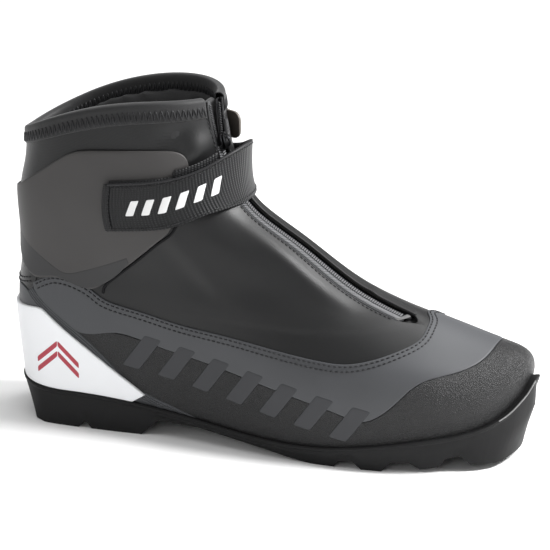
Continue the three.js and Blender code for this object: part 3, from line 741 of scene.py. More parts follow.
def makeGaiter():
    low, cut = gaiterFit["low"], zipFit["low"]
    whole = 16  # rows below the zip, which close in front
    v = np.concatenate([np.linspace(low, cut - 0.014, whole), np.linspace(cut + 0.001, 0.995, 52)])
    v = v[:, None]
    opened = np.where(v > cut, zipFit["slit"] + zipOpening(v), 0.0)
    close = [0, 0.0025, 0.007, 0.013]
    share = np.concatenate([close, np.linspace(0.02, 0.98, 140), [1 - k for k in reversed(close)]])
    s = roundHeel(v, zipMiddle(v), opened, share)
    vv = np.broadcast_to(v, s.shape)
    points = onSkin(s, vv, folds(skin(s, vv), vv))
    faces = gridFaces(*s.shape, flip=facesIn(points, normal(s, vv)))
    columns = s.shape[1]
    joined = {j * columns + columns - 1: j * columns for j in range(whole)}
    faces = [[joined.get(k, k) for k in face] for face in faces]
    piece = newObject("gaiter", points.reshape(-1, 3), faces, mats["softshell"], clothUv(points))
    return stack(piece, gaiterFit["wall"], 1)


done(makeGaiter(), "softshell", "gaiter")
slitLine = np.linspace(zipFit["low"] + 0.01, 0.97, 500)
for name, d in (("slitStitchesOuter", -6.7), ("slitStitchesInner", 6.9)):
    line = np.stack([zipSide(slitLine, d), slitLine], -1)
    stitchRow(name, line, folds(skin(line[:, 0], line[:, 1]), line[:, 1]) + 0.05, 2.7, 1.9, 0.36)
print("gaiter")

# zip

chainFit = dict(low=0.408, high=0.868, pitch=1.35, radius=0.5, rows=((-4.5, -1.3), (-1.1, 2.1)), lift=-0.3)


def zipStrip(name, d, lift, material):
    v = np.linspace(zipFit["low"] + 0.006, 0.995, 60)[:, None]
    s = zipSide(v, np.array(d)[None])
    return skinGrid(name, s, np.broadcast_to(v, s.shape), np.broadcast_to(lift, s.shape), material, 0.5)


outerTape = zipStrip("zipTapeOuter", [-7.5, -6, -4.5, -3.2, -0.6], -1.35, mats["zipTape"])
# the inner tape is real, but its near-black colour is the painted shadow in the zip's gap
innerTape = zipStrip("zipTapeInner", [0.6, 2.6, 4.0, 5.5, 7.5], [-1.35, -1.5, -1.9, -1.6, -1.4],
                     mats["shadow"])
done(outerTape, "zip_nylon", "zip_tape_outer")
done(innerTape, "zip_nylon", "zip_tape_inner")


def zipRibs(name, rows, low, high, material, *nodes):
    fine = np.linspace(low, high, 800)
    run = runAlong(skin(zipSide(fine, -0.01), fine))
    at = np.interp(np.arange(chainFit["pitch"], run[-1], chainFit["pitch"]), run, fine)
    lean = np.interp(run[-1] / len(at), run - run[0], fine - low) * 0.8
    starts, ends = [], []
    for index, (a, b) in enumerate(rows):
        tilt = lean if index % 2 else -lean
        starts.append(onSkin(zipSide(at, a), at, chainFit["lift"]))
        ends.append(onSkin(zipSide(at + tilt, b), at + tilt, chainFit["lift"]))
    ribs = capsules(name, np.concatenate(starts), np.concatenate(ends), chainFit["radius"], material, 6)
    return done(ribs, "zip_nylon", *nodes)


zipRibs("zipChain", chainFit["rows"], chainFit["low"], chainFit["high"], mats["coil"], "zip_coil")
# the teeth are parted above the slider
for name, reach in (("zipTeethOuter", (-3.4, -1.6)), ("zipTeethInner", (1.6, 3.4))):
    zipRibs(name, [reach], 0.885, 0.99, mats["plastic"])


def zipEdge(name, d, lift, radius, low, high, material):
    v = np.linspace(low, high, 90)
    return done(wire(name, onSkin(zipSide(v, d), v, lift), radius, material), "zip_nylon")


for name, d in (("slitPipingOuter", -5.3), ("slitPipingInner", 5.3)):
    zipEdge(name, d, 0.2, 0.75, 0.78, 0.995, mats["piping"])
zipEdge("chainCord", -5.1, -0.35, 0.4, 0.406, 0.87, mats["zipTape"])

stopFit = dict(across=(-4.9, 2.6), count=12, low=0.402, high=0.41, lean=0.35, lift=-0.1, radius=0.28)


def stopEnds(level, lean):
    v = np.full(stopFit["count"], level)
    return onSkin(zipSide(v, np.linspace(*stopFit["across"], stopFit["count"]) + lean), v, stopFit["lift"])


zipStop = capsules("zipStop", stopEnds(stopFit["low"], 0.0), stopEnds(stopFit["high"], stopFit["lean"]),
                   stopFit["radius"], mats["tack"])
done(zipStop, "black_thread", "zip_stop")
flapFit = dict(root=5.2, width=9.5, low=0.4, high=0.74)


def makeFlap():
    v = np.linspace(flapFit["low"], flapFit["high"], 56)[:, None]
    across = np.array([0, 0.06, 0.2, 0.4, 0.6, 0.8, 0.94, 1])[None]
    end = np.sqrt(np.clip((v - flapFit["low"]) / 0.02, 0.05, 1))
    d = flapFit["root"] + flapFit["width"] * across * end
    s = acrossFront(np.broadcast_to(v, d.shape), zipMiddle(v) + d)
    vv = np.broadcast_to(v, s.shape)
    lift = 0.75 + 0.5 * hump(across, 0.0, 0.15) + 0.7 * hump(vv, 0.475, 0.006)
    return skinGrid("zipFlap", s, vv, lift, mats["softshell"], 1.0)


done(makeFlap(), "softshell", "zip_flap")
print("zip")

# slider and pull

slideJoint = next(joint for joint in frame["record"]["behaviour"]["joints"] if joint["name"] == "zip_slide")
sliderLow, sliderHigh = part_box("zip_slider")
pullLow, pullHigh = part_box("zip_pull")
zipUp = Vector(slideJoint["axis"]).normalized()
zipOut = Vector((0, 1, 0)).cross(zipUp).normalized()
zipTurn = Matrix((Vector((0, 1, 0)), zipUp, zipOut)).transposed()


def upright(name, cage, centre, material, bevel, smoothing=0):  # a cage's axes: across, up the zip, out
    points, faces = cage
    place = [tuple(zipTurn @ (Vector(p) * mm) + centre) for p in points]
    return stack(newObject(name, place, faces, material, inFrame=True), None, smoothing, bevel)


def fromFrame(place):
    return np.array(tuple(place)) / mm - np.array([heelAt, sideAt, 0.0])


def loopPlaces(centre, points):
    return np.array([fromFrame(zipTurn @ (Vector(p) * mm) + centre) for p in points])


def block(outline, low, high):  # an outline across and up, closed between two heights
    n = len(outline)
    points = [(a, b, low) for a, b in outline] + [(a, b, high) for a, b in outline]
    faces = [list(reversed(range(n))), list(range(n, 2 * n))]
    faces += [[k, (k + 1) % n, n + (k + 1) % n, n + k] for k in range(n)]
    return points, faces


sliderCentre = (sliderLow + sliderHigh) / 2
wedge = [(-2.4, -4.4), (2.4, -4.4), (4, 1.5), (3.6, 4.4), (1.2, 4.4), (0, 2.6), (-1.2, 4.4), (-3.6, 4.4),
         (-4, 1.5)]
square = [(-1, -1), (1, -1), (1, 2.4), (-1, 2.4)]
for name, outline, low, high, bevel, nodes in (("zipSlider", wedge, -1.5, -0.3, 0.35, ["zip_slider"]),
                                               ("zipSliderTop", wedge, 0.3, 1.3, 0.35, []),
                                               ("zipSliderPost", square, -0.5, 0.5, 0.2, [])):
    plate = upright(name, block(outline, low, high), sliderCentre, mats["blackSteel"], bevel)
    done(plate, "bare_steel", *nodes, body="zip_slider")
bridge = [(0, -3.2, 0.9), (0, -2.6, 2.2), (0, -0.6, 2.9), (0, 1.4, 2.4), (0, 2.2, 0.9)]
bridge = wire("zipBridge", loopPlaces(sliderCentre, bridge), 0.6, mats["blackSteel"])
done(bridge, "bare_steel", body="zip_slider")
pullCentre = (pullLow + pullHigh) / 2
tab = [(-1.5, -3.4), (1.5, -3.4), (2, -2.2), (2, 4.4), (1.3, 6), (-1.3, 6), (-2, 4.4), (-2, -2.2)]
pull = upright("zipPull", block(tab, -0.75, 0.75), pullCentre, mats["plastic"], 0.4, 1)
done(pull, "black_webbing", "zip_pull", body="zip_pull")
ribEnds = [loopPlaces(pullCentre, [(x, y, 0.8) for y in (-1, 0.4, 1.8, 3.2)]) for x in (-1.5, 1.5)]
done(capsules("zipPullRibs", *ribEnds, 0.3, mats["plastic"]), "black_webbing", body="zip_pull")
ring = [(-1.3, -3.2, 0), (-1.2, -5.4, 0), (-0.6, -6.4, 0), (0.6, -6.4, 0), (1.2, -5.4, 0), (1.3, -3.2, 0)]
ring = wire("zipPullRing", loopPlaces(pullCentre, ring), 0.45, mats["blackSteel"])
done(ring, "bare_steel", body="zip_pull")
print("slider and pull")

# heel

capFit = dict(top=2.3, wall=2.4, rows=9, pitch=2.6, edge=0.7)
capTop = sides((85.1, 23.1), (55, 43.8), (24.8, 66.2), (21.8, 67.4), (8, 65.8)) + [rear(64.8)]
capLow = [side(76, 17.5)] + atSole(60, 40, 24, 8) + [(1.0, underLip)]
lay("heelCap", overRear(capLow), overRear(capTop), "cap", capFit, "white_cap", "heel_cap")
counterFit = dict(top=0.6, wall=0.9, rows=8, pitch=3.0, edge=0.7)
counterTop = sides(*bandRearLine[::-1], (4.8, 76.6)) + [rear(75.6)]
counterLow = atSole(112, 100, 84) + sides((66, 30), (25, 58), (6, 58)) + [rear(57)]
lay("heelCounter", overRear(counterLow), overRear(counterTop), "overlay", counterFit, "grey_overlay",
    "heel_counter")
achillesFit = dict(top=0.5, wall=0.8, rows=6, pitch=2.4, edge=0.7)
achillesLow = sides((18, 80.5), (4.8, 76.8)) + [rear(75.8)]
achillesTop = sides((19.5, 85.2), (6.5, 97.2)) + [rear(98.5)]
lay("achillesPanel", overRear(achillesLow), overRear(achillesTop), "softshell", achillesFit, "toe_rand",
    "achilles_panel")
heelSeam = along(overRear(sides((16.8, 80.2), (4.8, 76.3)) + [rear(75.3)]), np.linspace(0, 1, 200))
for row, distance in enumerate((1.4, 3.8)):
    stitchRow(f"heelStitches{row + 1}", inset(heelSeam, -distance), 0.62)
bandFit = dict(top=0.95, wall=1.2, rows=19, pitch=3.0, edge=0.25, ribs=3, rise=0.3)


def bandRibs(s, v, w):
    return bandFit["rise"] * np.cos(2 * np.pi * bandFit["ribs"] * w)


for name, sign, node in (("counterBandOuter", 1, "counter_band_outer"),
                         ("counterBandInner", -1, "counter_band_inner")):
    low, high = [[(sign * s, v) for s, v in sides(*line)] for line in (bandRearLine, bandLine)]
    lay(name, low, high, "overlay", bandFit, "cuff_plastic", node, relief=bandRibs)
print("heel")

# cuff

cuffFit = dict(top=2.15, wall=2.05, rows=12, pitch=3.0, edge=0.7)
cuffTop = sides((109.6, 156), (108.3, 161.5), (104.6, 165), (98, 166.1), (75, 165.2), (56, 163.8),
                (47.4, 162.3), (37.5, 157), (16.4, 141.8), (6, 134.5)) + [rear(131.5)]
cuffLow = sides((106.5, 138), (101, 121), (94, 114), (78, 100), (62, 87), (57, 83.2), (52, 82.3),
                (31.8, 86.8), (18.9, 85), (6, 96.8)) + [rear(98)]
wing = dict(tipY=20, low=162, high=177.5, proud=0.8, root=(106, 24.5), tip=(124.6, 14.6), thick=1.8,
            corner=5)
innerTop = sides((6, 134.5), (16.4, 141.8), (37.5, 157), (47.4, 162.3), (70, 168.5), (92, 173.5))
innerTop += [frontPlace(wing["tipY"] + 7, wing["high"] + 0.5),
             frontPlace(wing["tipY"] + 2, wing["high"] - 0.8),
             frontPlace(wing["tipY"], wing["high"] - 4.5)]
innerLow = sides((6, 96.8), (18.9, 85), (31.8, 86.8), (52, 82.3), (57, 83.2), (62, 87), (78, 100),
                 (94, 114), (101, 121), (106.5, 140))
innerLow += [frontPlace(wing["tipY"] + 9, wing["low"] - 2), frontPlace(wing["tipY"] + 3, wing["low"]),
             frontPlace(wing["tipY"], wing["low"] + 4)]
cuffTop += [(2 - abs(s), v) for s, v in innerTop]
cuffLow += [(2 - abs(s), v) for s, v in innerLow]


def makeWingTip():  # the free end of the cuff's inner wing, a flat plate with rounded corners
    a, b = np.array(wing["root"]), np.array(wing["tip"])
    length = np.linalg.norm(b - a)
    way = (b - a) / length
    out = np.array([-way[1], way[0]]) * wing["thick"] / 2
    r, low, high = wing["corner"], wing["low"], wing["high"]
    turns = np.linspace(0, math.pi / 2, 5)
    outline = [(0, low)] + [(length - r + r * math.sin(k), low + r - r * math.cos(k)) for k in turns]
    outline += [(length - r + r * math.cos(k), high - r + r * math.sin(k)) for k in turns] + [(0, high)]
    points = [(*(a + way * at + out * turn), z) for turn in (-1, 1) for at, z in outline]
    n = len(outline)
    faces = [list(range(n)), list(reversed(range(n, 2 * n)))]
    faces += [[k, n + k, n + (k + 1) % n, (k + 1) % n] for k in range(n)]
    return stack(newObject("wingTip", points, faces, mats["bronze"]), None, 0, 0.5)


def cuffRelief(s, v, w):
    tip = smooth(1.7, 1.89, s)
    return wing["proud"] * tip + 0.25 * hump(w, 0.5, 0.25)


lay("heelCuff", cuffLow, cuffTop, "cuff", cuffFit, "cuff_plastic", "heel_cuff", relief=cuffRelief)
done(makeWingTip(), "cuff_plastic")
# a thin sheet of the darker cuff plastic over the cuff's lower rear: painted shade
shadeBandTop = sides((4, 112), (18, 102.5), (33, 92.5), (39, 90.2), (48, 92.5), (76, 103.5))
shadeBandLow = sides((6.2, 99), (18.9, 86), (31.8, 87.8), (45, 83.6), (57, 84.2), (77, 100.5))
shadeBandFit = dict(top=2.32, wall=0.4, rows=6, pitch=3.0, edge=0.5)
lay("cuffShadeBand", shadeBandLow, shadeBandTop, "paintedCuffShade", shadeBandFit, "cuff_plastic")
# a near-black wire along the cuff's lower front edge: painted shadow in the gap there
cuffShadowLine = sides((59.5, 80.5), (60.4, 84.2), (65, 89.2), (78, 100), (94, 114), (102, 121), (107, 137))
cuffShadowLine = inset(along(cuffShadowLine, np.linspace(0, 1, 60)), -0.9)
done(wire("cuffEdgeShadow", onLine(cuffShadowLine, 0.35), 0.8, mats["shadow"]), "black_thread")
print("cuff")

# ankle strap

strapFit = dict(wall=1.6, rows=9, pitch=2.4, edge=0.5, top=0.0)
strapRise = dict(sides=5.6, low=0.8, slope=15.2, ease=3.3, spread=0.16)
pinLow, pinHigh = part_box("strap_pin")
strapEnd = pinHigh.x / mm - heelAt + 1.5
strapLow = sides((65.5, 119.4), (85, 121.2), (100, 123.2), (110, 126.2), (119, 129.6))
strapLow += [(0.12, 0.718), (0.0, 0.721), (-0.12, 0.718)]
strapLow += mirrored(sides((119, 129.6), (110, 126.2), (strapEnd, 122.5)))
strapHigh = sides((65.5, 146.9), (85, 149), (100, 151.2), (109, 153.6), (116, 157))
strapHigh += [ridge(123)] + mirrored(sides((116, 155.6), (109, 153.2), (strapEnd, 150.5)))


def strapTotal(s, w):
    front = strapRise["low"] + strapRise["slope"] * w - strapRise["ease"] * w * w
    return strapRise["sides"] + (front - strapRise["sides"]) * hump(s, 0, strapRise["spread"])


def strapRelief(s, v, w):
    return strapTotal(s, w)


lay("ankleStrap", strapLow, strapHigh, "webbing", strapFit, "black_webbing", "ankle_strap",
    relief=strapRelief, body="strap")


def strapSpan(name, fit, *nodes):  # a strip along the strap, below its face
    columns = max(6, int((fit["atTo"] - fit["atFrom"]) * 90))
    at = np.linspace(fit["atFrom"], fit["atTo"], columns)
    w = np.linspace(fit["wFrom"], fit["wTo"], 6)[:, None] * np.ones(columns)
    s, v = between(strapLow, strapHigh, at, w)
    piece = skinGrid(name, s, v, strapTotal(s, w) - fit["below"], mats["webbing"], fit["wall"])
    done(piece, "black_webbing", *nodes, body="strap")


strapSpan("hookPad", dict(atFrom=0.012, atTo=0.3, wFrom=0.02, wTo=1.035, below=1.65, wall=1.5), "hook_pad")
strapSpan("strapHem", dict(atFrom=0.0, atTo=0.03, wFrom=0.0, wTo=1.0, below=-0.35, wall=0.5))
strapSpan("strapUnderlay", dict(atFrom=0.3, atTo=0.5, wFrom=0.62, wTo=1.14, below=2.2, wall=1.1))
hemFit = dict(at=0.03, low=0.05, high=0.95, lift=0.3)
edgeFit = dict(at=(0.02, 0.66), level=0.985, radius=0.6)


def strapLine(at, w):  # a line of (s, v) along the strap, at one share of its height
    s, v = between(strapLow, strapHigh, at, np.full((1, len(at)), w))
    return np.stack([s[0], v[0]], -1)


for name, w in (("strapEdgeStitches", 0.93), ("strapLowStitches", 0.06)):
    line = strapLine(np.linspace(0.01, 0.99, 500), w)
    stitchRow(name, line, strapTotal(line[:, 0], w) + 0.05, 2.6, 1.8, 0.3, "strap")
low, high = [along(line, [hemFit["at"]]) for line in (strapLow, strapHigh)]
hemShare = np.linspace(hemFit["low"], hemFit["high"], 60)
hemLine = low * (1 - hemShare[:, None]) + high * hemShare[:, None]
hemLift = strapTotal(hemLine[:, 0], hemShare) + hemFit["lift"]
stitchRow("strapHemStitches", hemLine, hemLift, 2.4, 1.7, 0.32, "strap")
line = strapLine(np.linspace(*edgeFit["at"], 160), edgeFit["level"])
topEdge = wire("strapTopEdge", onLine(line, strapTotal(line[:, 0], 1.0)), edgeFit["radius"], mats["thread"])
done(topEdge, "black_webbing", body="strap")
barPrint = dict(first=0.10, pitch=0.066, width=0.034, lean=0.03, low=0.36, high=0.68, count=6, lift=0.22,
                wall=0.25)


def strapBar(index):  # one slanted bar of the plain print
    fit = barPrint
    t = np.linspace(0, 1, 8)[:, None]
    a = fit["first"] + fit["pitch"] * index + fit["lean"] * t + fit["width"] * np.linspace(0, 1, 6)[None]
    w = fit["low"] + (fit["high"] - fit["low"]) * t * np.ones((1, 6))
    low, high = [along(line, a.ravel()).reshape(*a.shape, 2) for line in (strapLow, strapHigh)]
    s, v = np.moveaxis(low * (1 - w[..., None]) + high * w[..., None], -1, 0)
    piece = skinGrid(f"strapBar{index + 1}", s, v, strapTotal(s, w) + fit["lift"], mats["white"],
                     fit["wall"])
    done(piece, "black_webbing", body="strap")


for index in range(barPrint["count"]):
    strapBar(index)
padFit = dict(top=2.95, wall=0.75, rows=6, pitch=3.0, edge=0.5)
padLow, padHigh = sides((70, 121.5), (84, 122.5), (97, 124)), sides((70, 144.5), (84, 146), (97, 148))
lay("loopPad", padLow, padHigh, "lining", padFit, "black_webbing", "loop_pad")
anchorFit = dict(top=4.0, wall=1.5, rows=8, pitch=2.5, edge=0.5)
anchorLow, anchorHigh = [mirrored(sides((68, z), (80, z), (strapEnd - 4.5, z))) for z in (122.5, 148.5)]
lay("strapAnchor", anchorLow, anchorHigh, "webbing", anchorFit, "black_webbing", "strap_anchor")
pinPlace = fromFrame((pinLow + pinHigh) / 2)
loopFit = dict(radius=2.9, sides=18, hem=0.8, wall=1.0)
turns = np.linspace(0, 2 * np.pi, loopFit["sides"], endpoint=False)
ring = pinPlace[:2] + loopFit["radius"] * np.stack([np.cos(turns), np.sin(turns)], -1)
for name, low, high, body in (("anchorLoopLow", -13.6, -5.2, "boot"), ("anchorLoopHigh", 5.2, 13.6, "boot"),
                              ("strapLoop", -4.8, 4.8, "strap")):
    heights = (low, low + loopFit["hem"], high - loopFit["hem"], high)
    points = [(x, y, pinPlace[2] + h) for h in heights for x, y in ring]
    uv = [(k, k // loopFit["sides"]) for k in range(len(points))]
    faces = gridFaces(len(heights), loopFit["sides"], closed=True)
    piece = newObject(name, points, faces, mats["webbing"], uv)
    done(stack(piece, loopFit["wall"]), "black_webbing", body=body)
print("strap")

# collar

collarUnit = 178.0  # height of one unit of v at the collar
collarFit = dict(profile=((0.3, -9.4), (0.75, -9.0), (0.9, -7), (0.9, -4), (1.2, -1.6), (1.1, 0.2),
                          (0.0, 1.2), (-1.8, 1.7), (-3.4, 1.4), (-4.4, 0.2), (-4.7, -2), (-4.8, -6),
                          (-4.9, -9.5)),
                 columns=150, gap=1.5, wall=0.5)
zigzagFit = dict(low=-8.6, high=-3.0, pitch=1.5, gap=2.0, radius=0.42)


def makeBinding():
    rows = np.array(collarFit["profile"])
    v = 1 + rows[:, 1:] / collarUnit
    opened = zipFit["slit"] + zipFit["open"] + collarFit["gap"]
    s = roundHeel(np.minimum(v, 1), zipMiddle(1.0), opened, np.linspace(0, 1, collarFit["columns"]))
    vv = np.broadcast_to(v, s.shape)
    points = onSkin(s, vv, np.broadcast_to(rows[:, :1], s.shape))
    flip = facesIn(points[:2], normal(s, vv))
    faces = gridFaces(*s.shape, flip=flip)
    binding = newObject("collarBinding", points.reshape(-1, 3), faces, mats["lining"], clothUv(points))
    return stack(stack(binding), collarFit["wall"], 0)


done(makeBinding(), "black_webbing", "collar_binding")


def zigzag(name, offset):
    opened = zipFit["slit"] + zipFit["open"] + zigzagFit["gap"]
    fine = roundHeel(1.0, zipMiddle(1.0), opened, np.linspace(0, 1, 900))
    run = runAlong(skin(fine, 0.98))
    count = int(run[-1] / zigzagFit["pitch"])
    s = np.interp(np.linspace(0, run[-1], count), run, fine)
    height = np.where(np.arange(count) % 2, zigzagFit["high"], zigzagFit["low"])
    place = onSkin(s, 1 + height / collarUnit, offset)
    done(capsules(name, place[:-1], place[1:], zigzagFit["radius"], mats["thread"]), "black_thread")


zigzag("collarZigzagOuter", 1.05)
zigzag("collarZigzagInner", -5.0)
print("collar")

# bootie, tongue and collar pad

clothFit = dict(frames=20, quality=5, mass=0.2, tension_stiffness=12, compression_stiffness=12,
                bending_stiffness=0.4)


def puff(piece, fit):  # pressure swells the closed form, within a cap
    remesh = piece.modifiers.new("skin", "REMESH")
    remesh.mode = "VOXEL"
    remesh.voxel_size = fit["voxel"] * mm
    evaluated = piece.evaluated_get(bpy.context.evaluated_depsgraph_get())
    mesh = bpy.data.meshes.new_from_object(evaluated)
    piece.modifiers.clear()
    piece.data = mesh
    rest = np.array([tuple(vertex.co) for vertex in mesh.vertices])
    cloth = piece.modifiers.new("air", "CLOTH")
    for key in ("quality", "mass", "tension_stiffness", "compression_stiffness", "bending_stiffness"):
        setattr(cloth.settings, key, clothFit[key])
    cloth.settings.use_pressure = True
    cloth.settings.uniform_pressure_force = fit["pressure"]
    cloth.settings.effector_weights.gravity = 0
    scene = bpy.context.scene
    for number in range(1, clothFit["frames"] + 1):
        scene.frame_set(number)
    evaluated = piece.evaluated_get(bpy.context.evaluated_depsgraph_get())
    now = np.array([tuple(vertex.co) for vertex in evaluated.to_mesh().vertices])
    evaluated.to_mesh_clear()
    move = now - rest
    far = np.linalg.norm(move, axis=1, keepdims=True)
    move *= np.minimum(1, fit["cap"] * mm / np.maximum(far, 1e-9))
    piece.modifiers.clear()
    scene.frame_set(1)
    mesh.vertices.foreach_set("co", (rest + move).ravel())
    mesh.polygons.foreach_set("use_smooth", [True] * len(mesh.polygons))
    mesh.update()
    return stack(piece)


def slab(name, s, v, outer, inner, material):  # a closed pad between two offsets of the skin
    rows, cols = s.shape
    face, back = onSkin(s, v, outer), onSkin(s, v, inner)
    flip = facesIn(face, normal(s, v))
    n = rows * cols
    faces = gridFaces(rows, cols, flip=flip)
    faces += [[k + n for k in reversed(corners)] for corners in faces]
    edge = list(range(cols)) + [j * cols + cols - 1 for j in range(1, rows)]
    edge += [(rows - 1) * cols + i for i in reversed(range(cols - 1))]
    edge += [j * cols for j in reversed(range(1, rows - 1))]
    for a, b in zip(edge, edge[1:] + edge[:1]):
        faces.append([a, b, b + n, a + n] if flip else [b, a, a + n, b + n])
    return newObject(name, np.concatenate([face.reshape(-1, 3), back.reshape(-1, 3)]), faces, material)


def makePad(name, fit, s, v):
    return puff(slab(name, s, np.broadcast_to(v, s.shape), fit["outer"], fit["inner"], mats["lining"]), fit)


tongueFit = dict(low=0.47, high=1.0, half=12.5, rows=44, columns=9, outer=-3.6, inner=-7.6, voxel=2.6,
                 pressure=3.0, cap=1.6)
v = np.linspace(tongueFit["low"], tongueFit["high"], tongueFit["rows"])[:, None]
tongueAcross = zipMiddle(v) + tongueFit["half"] * np.linspace(-1, 1, tongueFit["columns"])
tongue = makePad("tonguePad", tongueFit, acrossFront(v, tongueAcross), v)
done(tongue, "lining_fabric", "tongue")

padRing = dict(low=0.80, high=0.965, rows=8, columns=90, outer=-2.4, inner=-7.4, voxel=3.0, pressure=3.0,
               cap=2.0, gap=9)
v = np.linspace(padRing["low"], padRing["high"], padRing["rows"])[:, None]
opened = zipFit["slit"] + zipFit["open"] + padRing["gap"]
s = roundHeel(v, zipMiddle(v), opened, np.linspace(0, 1, padRing["columns"]))
collarPad = makePad("collarPad", padRing, s, v)
done(collarPad, "lining_fabric")

bootieFit = dict(low=0.05, high=0.9, openFrom=0.45, rows=40, columns=120, offset=-3.6, wall=2.6, gap=8)
v = np.linspace(bootieFit["low"], bootieFit["high"], bootieFit["rows"])[:, None]
opened = np.where(v > bootieFit["openFrom"], zipFit["slit"] + bootieFit["gap"], 0.0)
s = roundHeel(v, zipMiddle(v), opened, np.linspace(0, 1, bootieFit["columns"]))
depth = np.full(s.shape, bootieFit["offset"])
bootie = skinGrid("bootie", s, np.broadcast_to(v, s.shape), depth, mats["lining"], bootieFit["wall"])
done(bootie, "lining_fabric", "inner_bootie")
print("bootie, tongue and collar pad")

# lace and footbed

laceFit = dict(low=0.5, high=0.78, rows=9, reach=10.5, depth=-3.1, radius=0.9)
laceV = np.linspace(laceFit["low"], laceFit["high"], laceFit["rows"])
lacePlaces = []
for index, level in enumerate(laceV):
    swing = laceFit["reach"] if index % 2 else -laceFit["reach"]
    for share in (-0.85, -0.3, 0.3, 0.85):
        s = acrossFront(level, zipMiddle(level) + swing * share)
        lacePlaces.append(onSkin(s, level, laceFit["depth"]))
done(wire("lace", np.array(lacePlaces), laceFit["radius"], mats["thread"]), "black_thread", "lace")

footbedFit = dict(inset=7.6, level=0.05, height=4.6, rim=4.0, spine=(22, 268), rows=9, columns=72, wall=2.6)
s = np.linspace(-1, 1, footbedFit["columns"], endpoint=False)
outline = onSkin(s, footbedFit["level"], -footbedFit["inset"])
spine = np.stack([np.clip(outline[:, 0], *footbedFit["spine"]), middleY(outline[:, 0]), outline[:, 2]], -1)
rows = []
for share in np.linspace(0, 1, footbedFit["rows"]):
    place = outline * (1 - share) + spine * share
    place[:, 2] = rim(place[:, 0]) + footbedFit["height"] + footbedFit["rim"] * (1 - smooth(0, 0.5, share))
    rows.append(place)
grid = np.array(rows)
footbed = newObject("footbedPad", grid.reshape(-1, 3), gridFaces(*grid.shape[:2], closed=True),
                    mats["lining"])
stack(footbed, footbedFit["wall"], 1)
done(footbed, "lining_fabric", "footbed")
print("lace and footbed")

# sole

soleFit = dict(rearLow=11, frontLow=292, lap=2.6, frontLap=1.0, rearLap=-0.2, bevel=0.45)
lipReach = 297  # the lip's height is given along this length
lipHeight = curveThrough([0, 12, 22, 40, 60, 87, 127, 171, 208, 253.5, 268.7, 274.4, 281, 286, 289.7, 292.3,
                          294.4, 295.8, 297],
                         [22.2, 21, 20.6, 20.8, 20, 17.2, 12.6, 9.8, 12.4, 19.8, 22.4, 23.8, 25.9, 28.4, 31,
                          34, 37.3, 40.8, 47.5])
treadLine = [(11, 2.4), (17, 0.6), (24, 0), (45.2, 0), (48.2, 3.6), (50.2, 3.6), (53.2, 0), (83.2, 0),
             (92.6, 8.8), (117, 8.4), (140, 5.8), (164, 3.0), (176, 1.2), (187, 0), (200.5, 0),
             (203.3, 3.6), (211.3, 4.1), (215.7, 0), (227.2, 0), (232.4, 5.2), (241.9, 5.6), (247.5, 1.9),
             (257, 2.9), (260.6, 7.6), (268, 9.4), (273.5, 4.2), (277, 4.2), (285, 3.2), (292, 4.4)]
baseLine = curveThrough([11, 30, 83, 95, 130, 164, 187, 230, 258, 277, 292],
                        [2, 0, 0, 8.6, 7, 3, 0, 0, 2.8, 4.2, 4.4])
lowHalf = curveThrough([11, 30, 60, 83, 100, 130, 165, 205, 235, 255, 275, 292],
                       [34, 36, 36.5, 36, 35, 38.5, 45.5, 49.5, 47, 41.5, 35, 31])
soleGroove = dict(centre=8, half=2.5, depth=4.5)
barSlot = dict(low=279, high=287, half=13, ceiling=13.5)


def soleColumns():
    xs = [x for x, _ in treadLine] + list(np.arange(24, 289, 4.0))
    xs += [barSlot["low"], barSlot["low"] + 0.4, barSlot["high"] - 0.4, barSlot["high"]]
    t = (np.array(xs) - soleFit["rearLow"]) / (soleFit["frontLow"] - soleFit["rearLow"])
    s = np.concatenate([np.arccos(np.clip(2 * t - 1, -1, 1)) / np.pi, np.linspace(0, 0.09, 7),
                        np.linspace(0.9, 1, 8)])
    s = np.unique(np.round(s, 4))
    keep = [s[0]]
    for value in s[1:]:
        if value - keep[-1] > 0.0009:
            keep.append(value)
    return np.array(keep)


def lipPlace(s, offset, drop):  # a ring at the lip's height less drop, standing off the upper
    facing = np.cos(np.pi * s)
    height = lipHeight(lipReach * (1 + facing) / 2) - drop
    v = search(np.full(s.shape, -0.3), np.full(s.shape, 0.3), lambda v: skin(s, v)[..., 2] < height, 26)
    point = skin(s, v)
    lap = soleFit["lap"] + np.where(facing > 0, soleFit["frontLap"], soleFit["rearLap"]) * facing**4
    n = normal(s, np.maximum(v, 0.0))
    n[..., 2] = 0
    n /= np.linalg.norm(n, axis=-1, keepdims=True)
    place = point + n * (lap + offset)[..., None]
    place[..., 2] = point[..., 2]
    return place


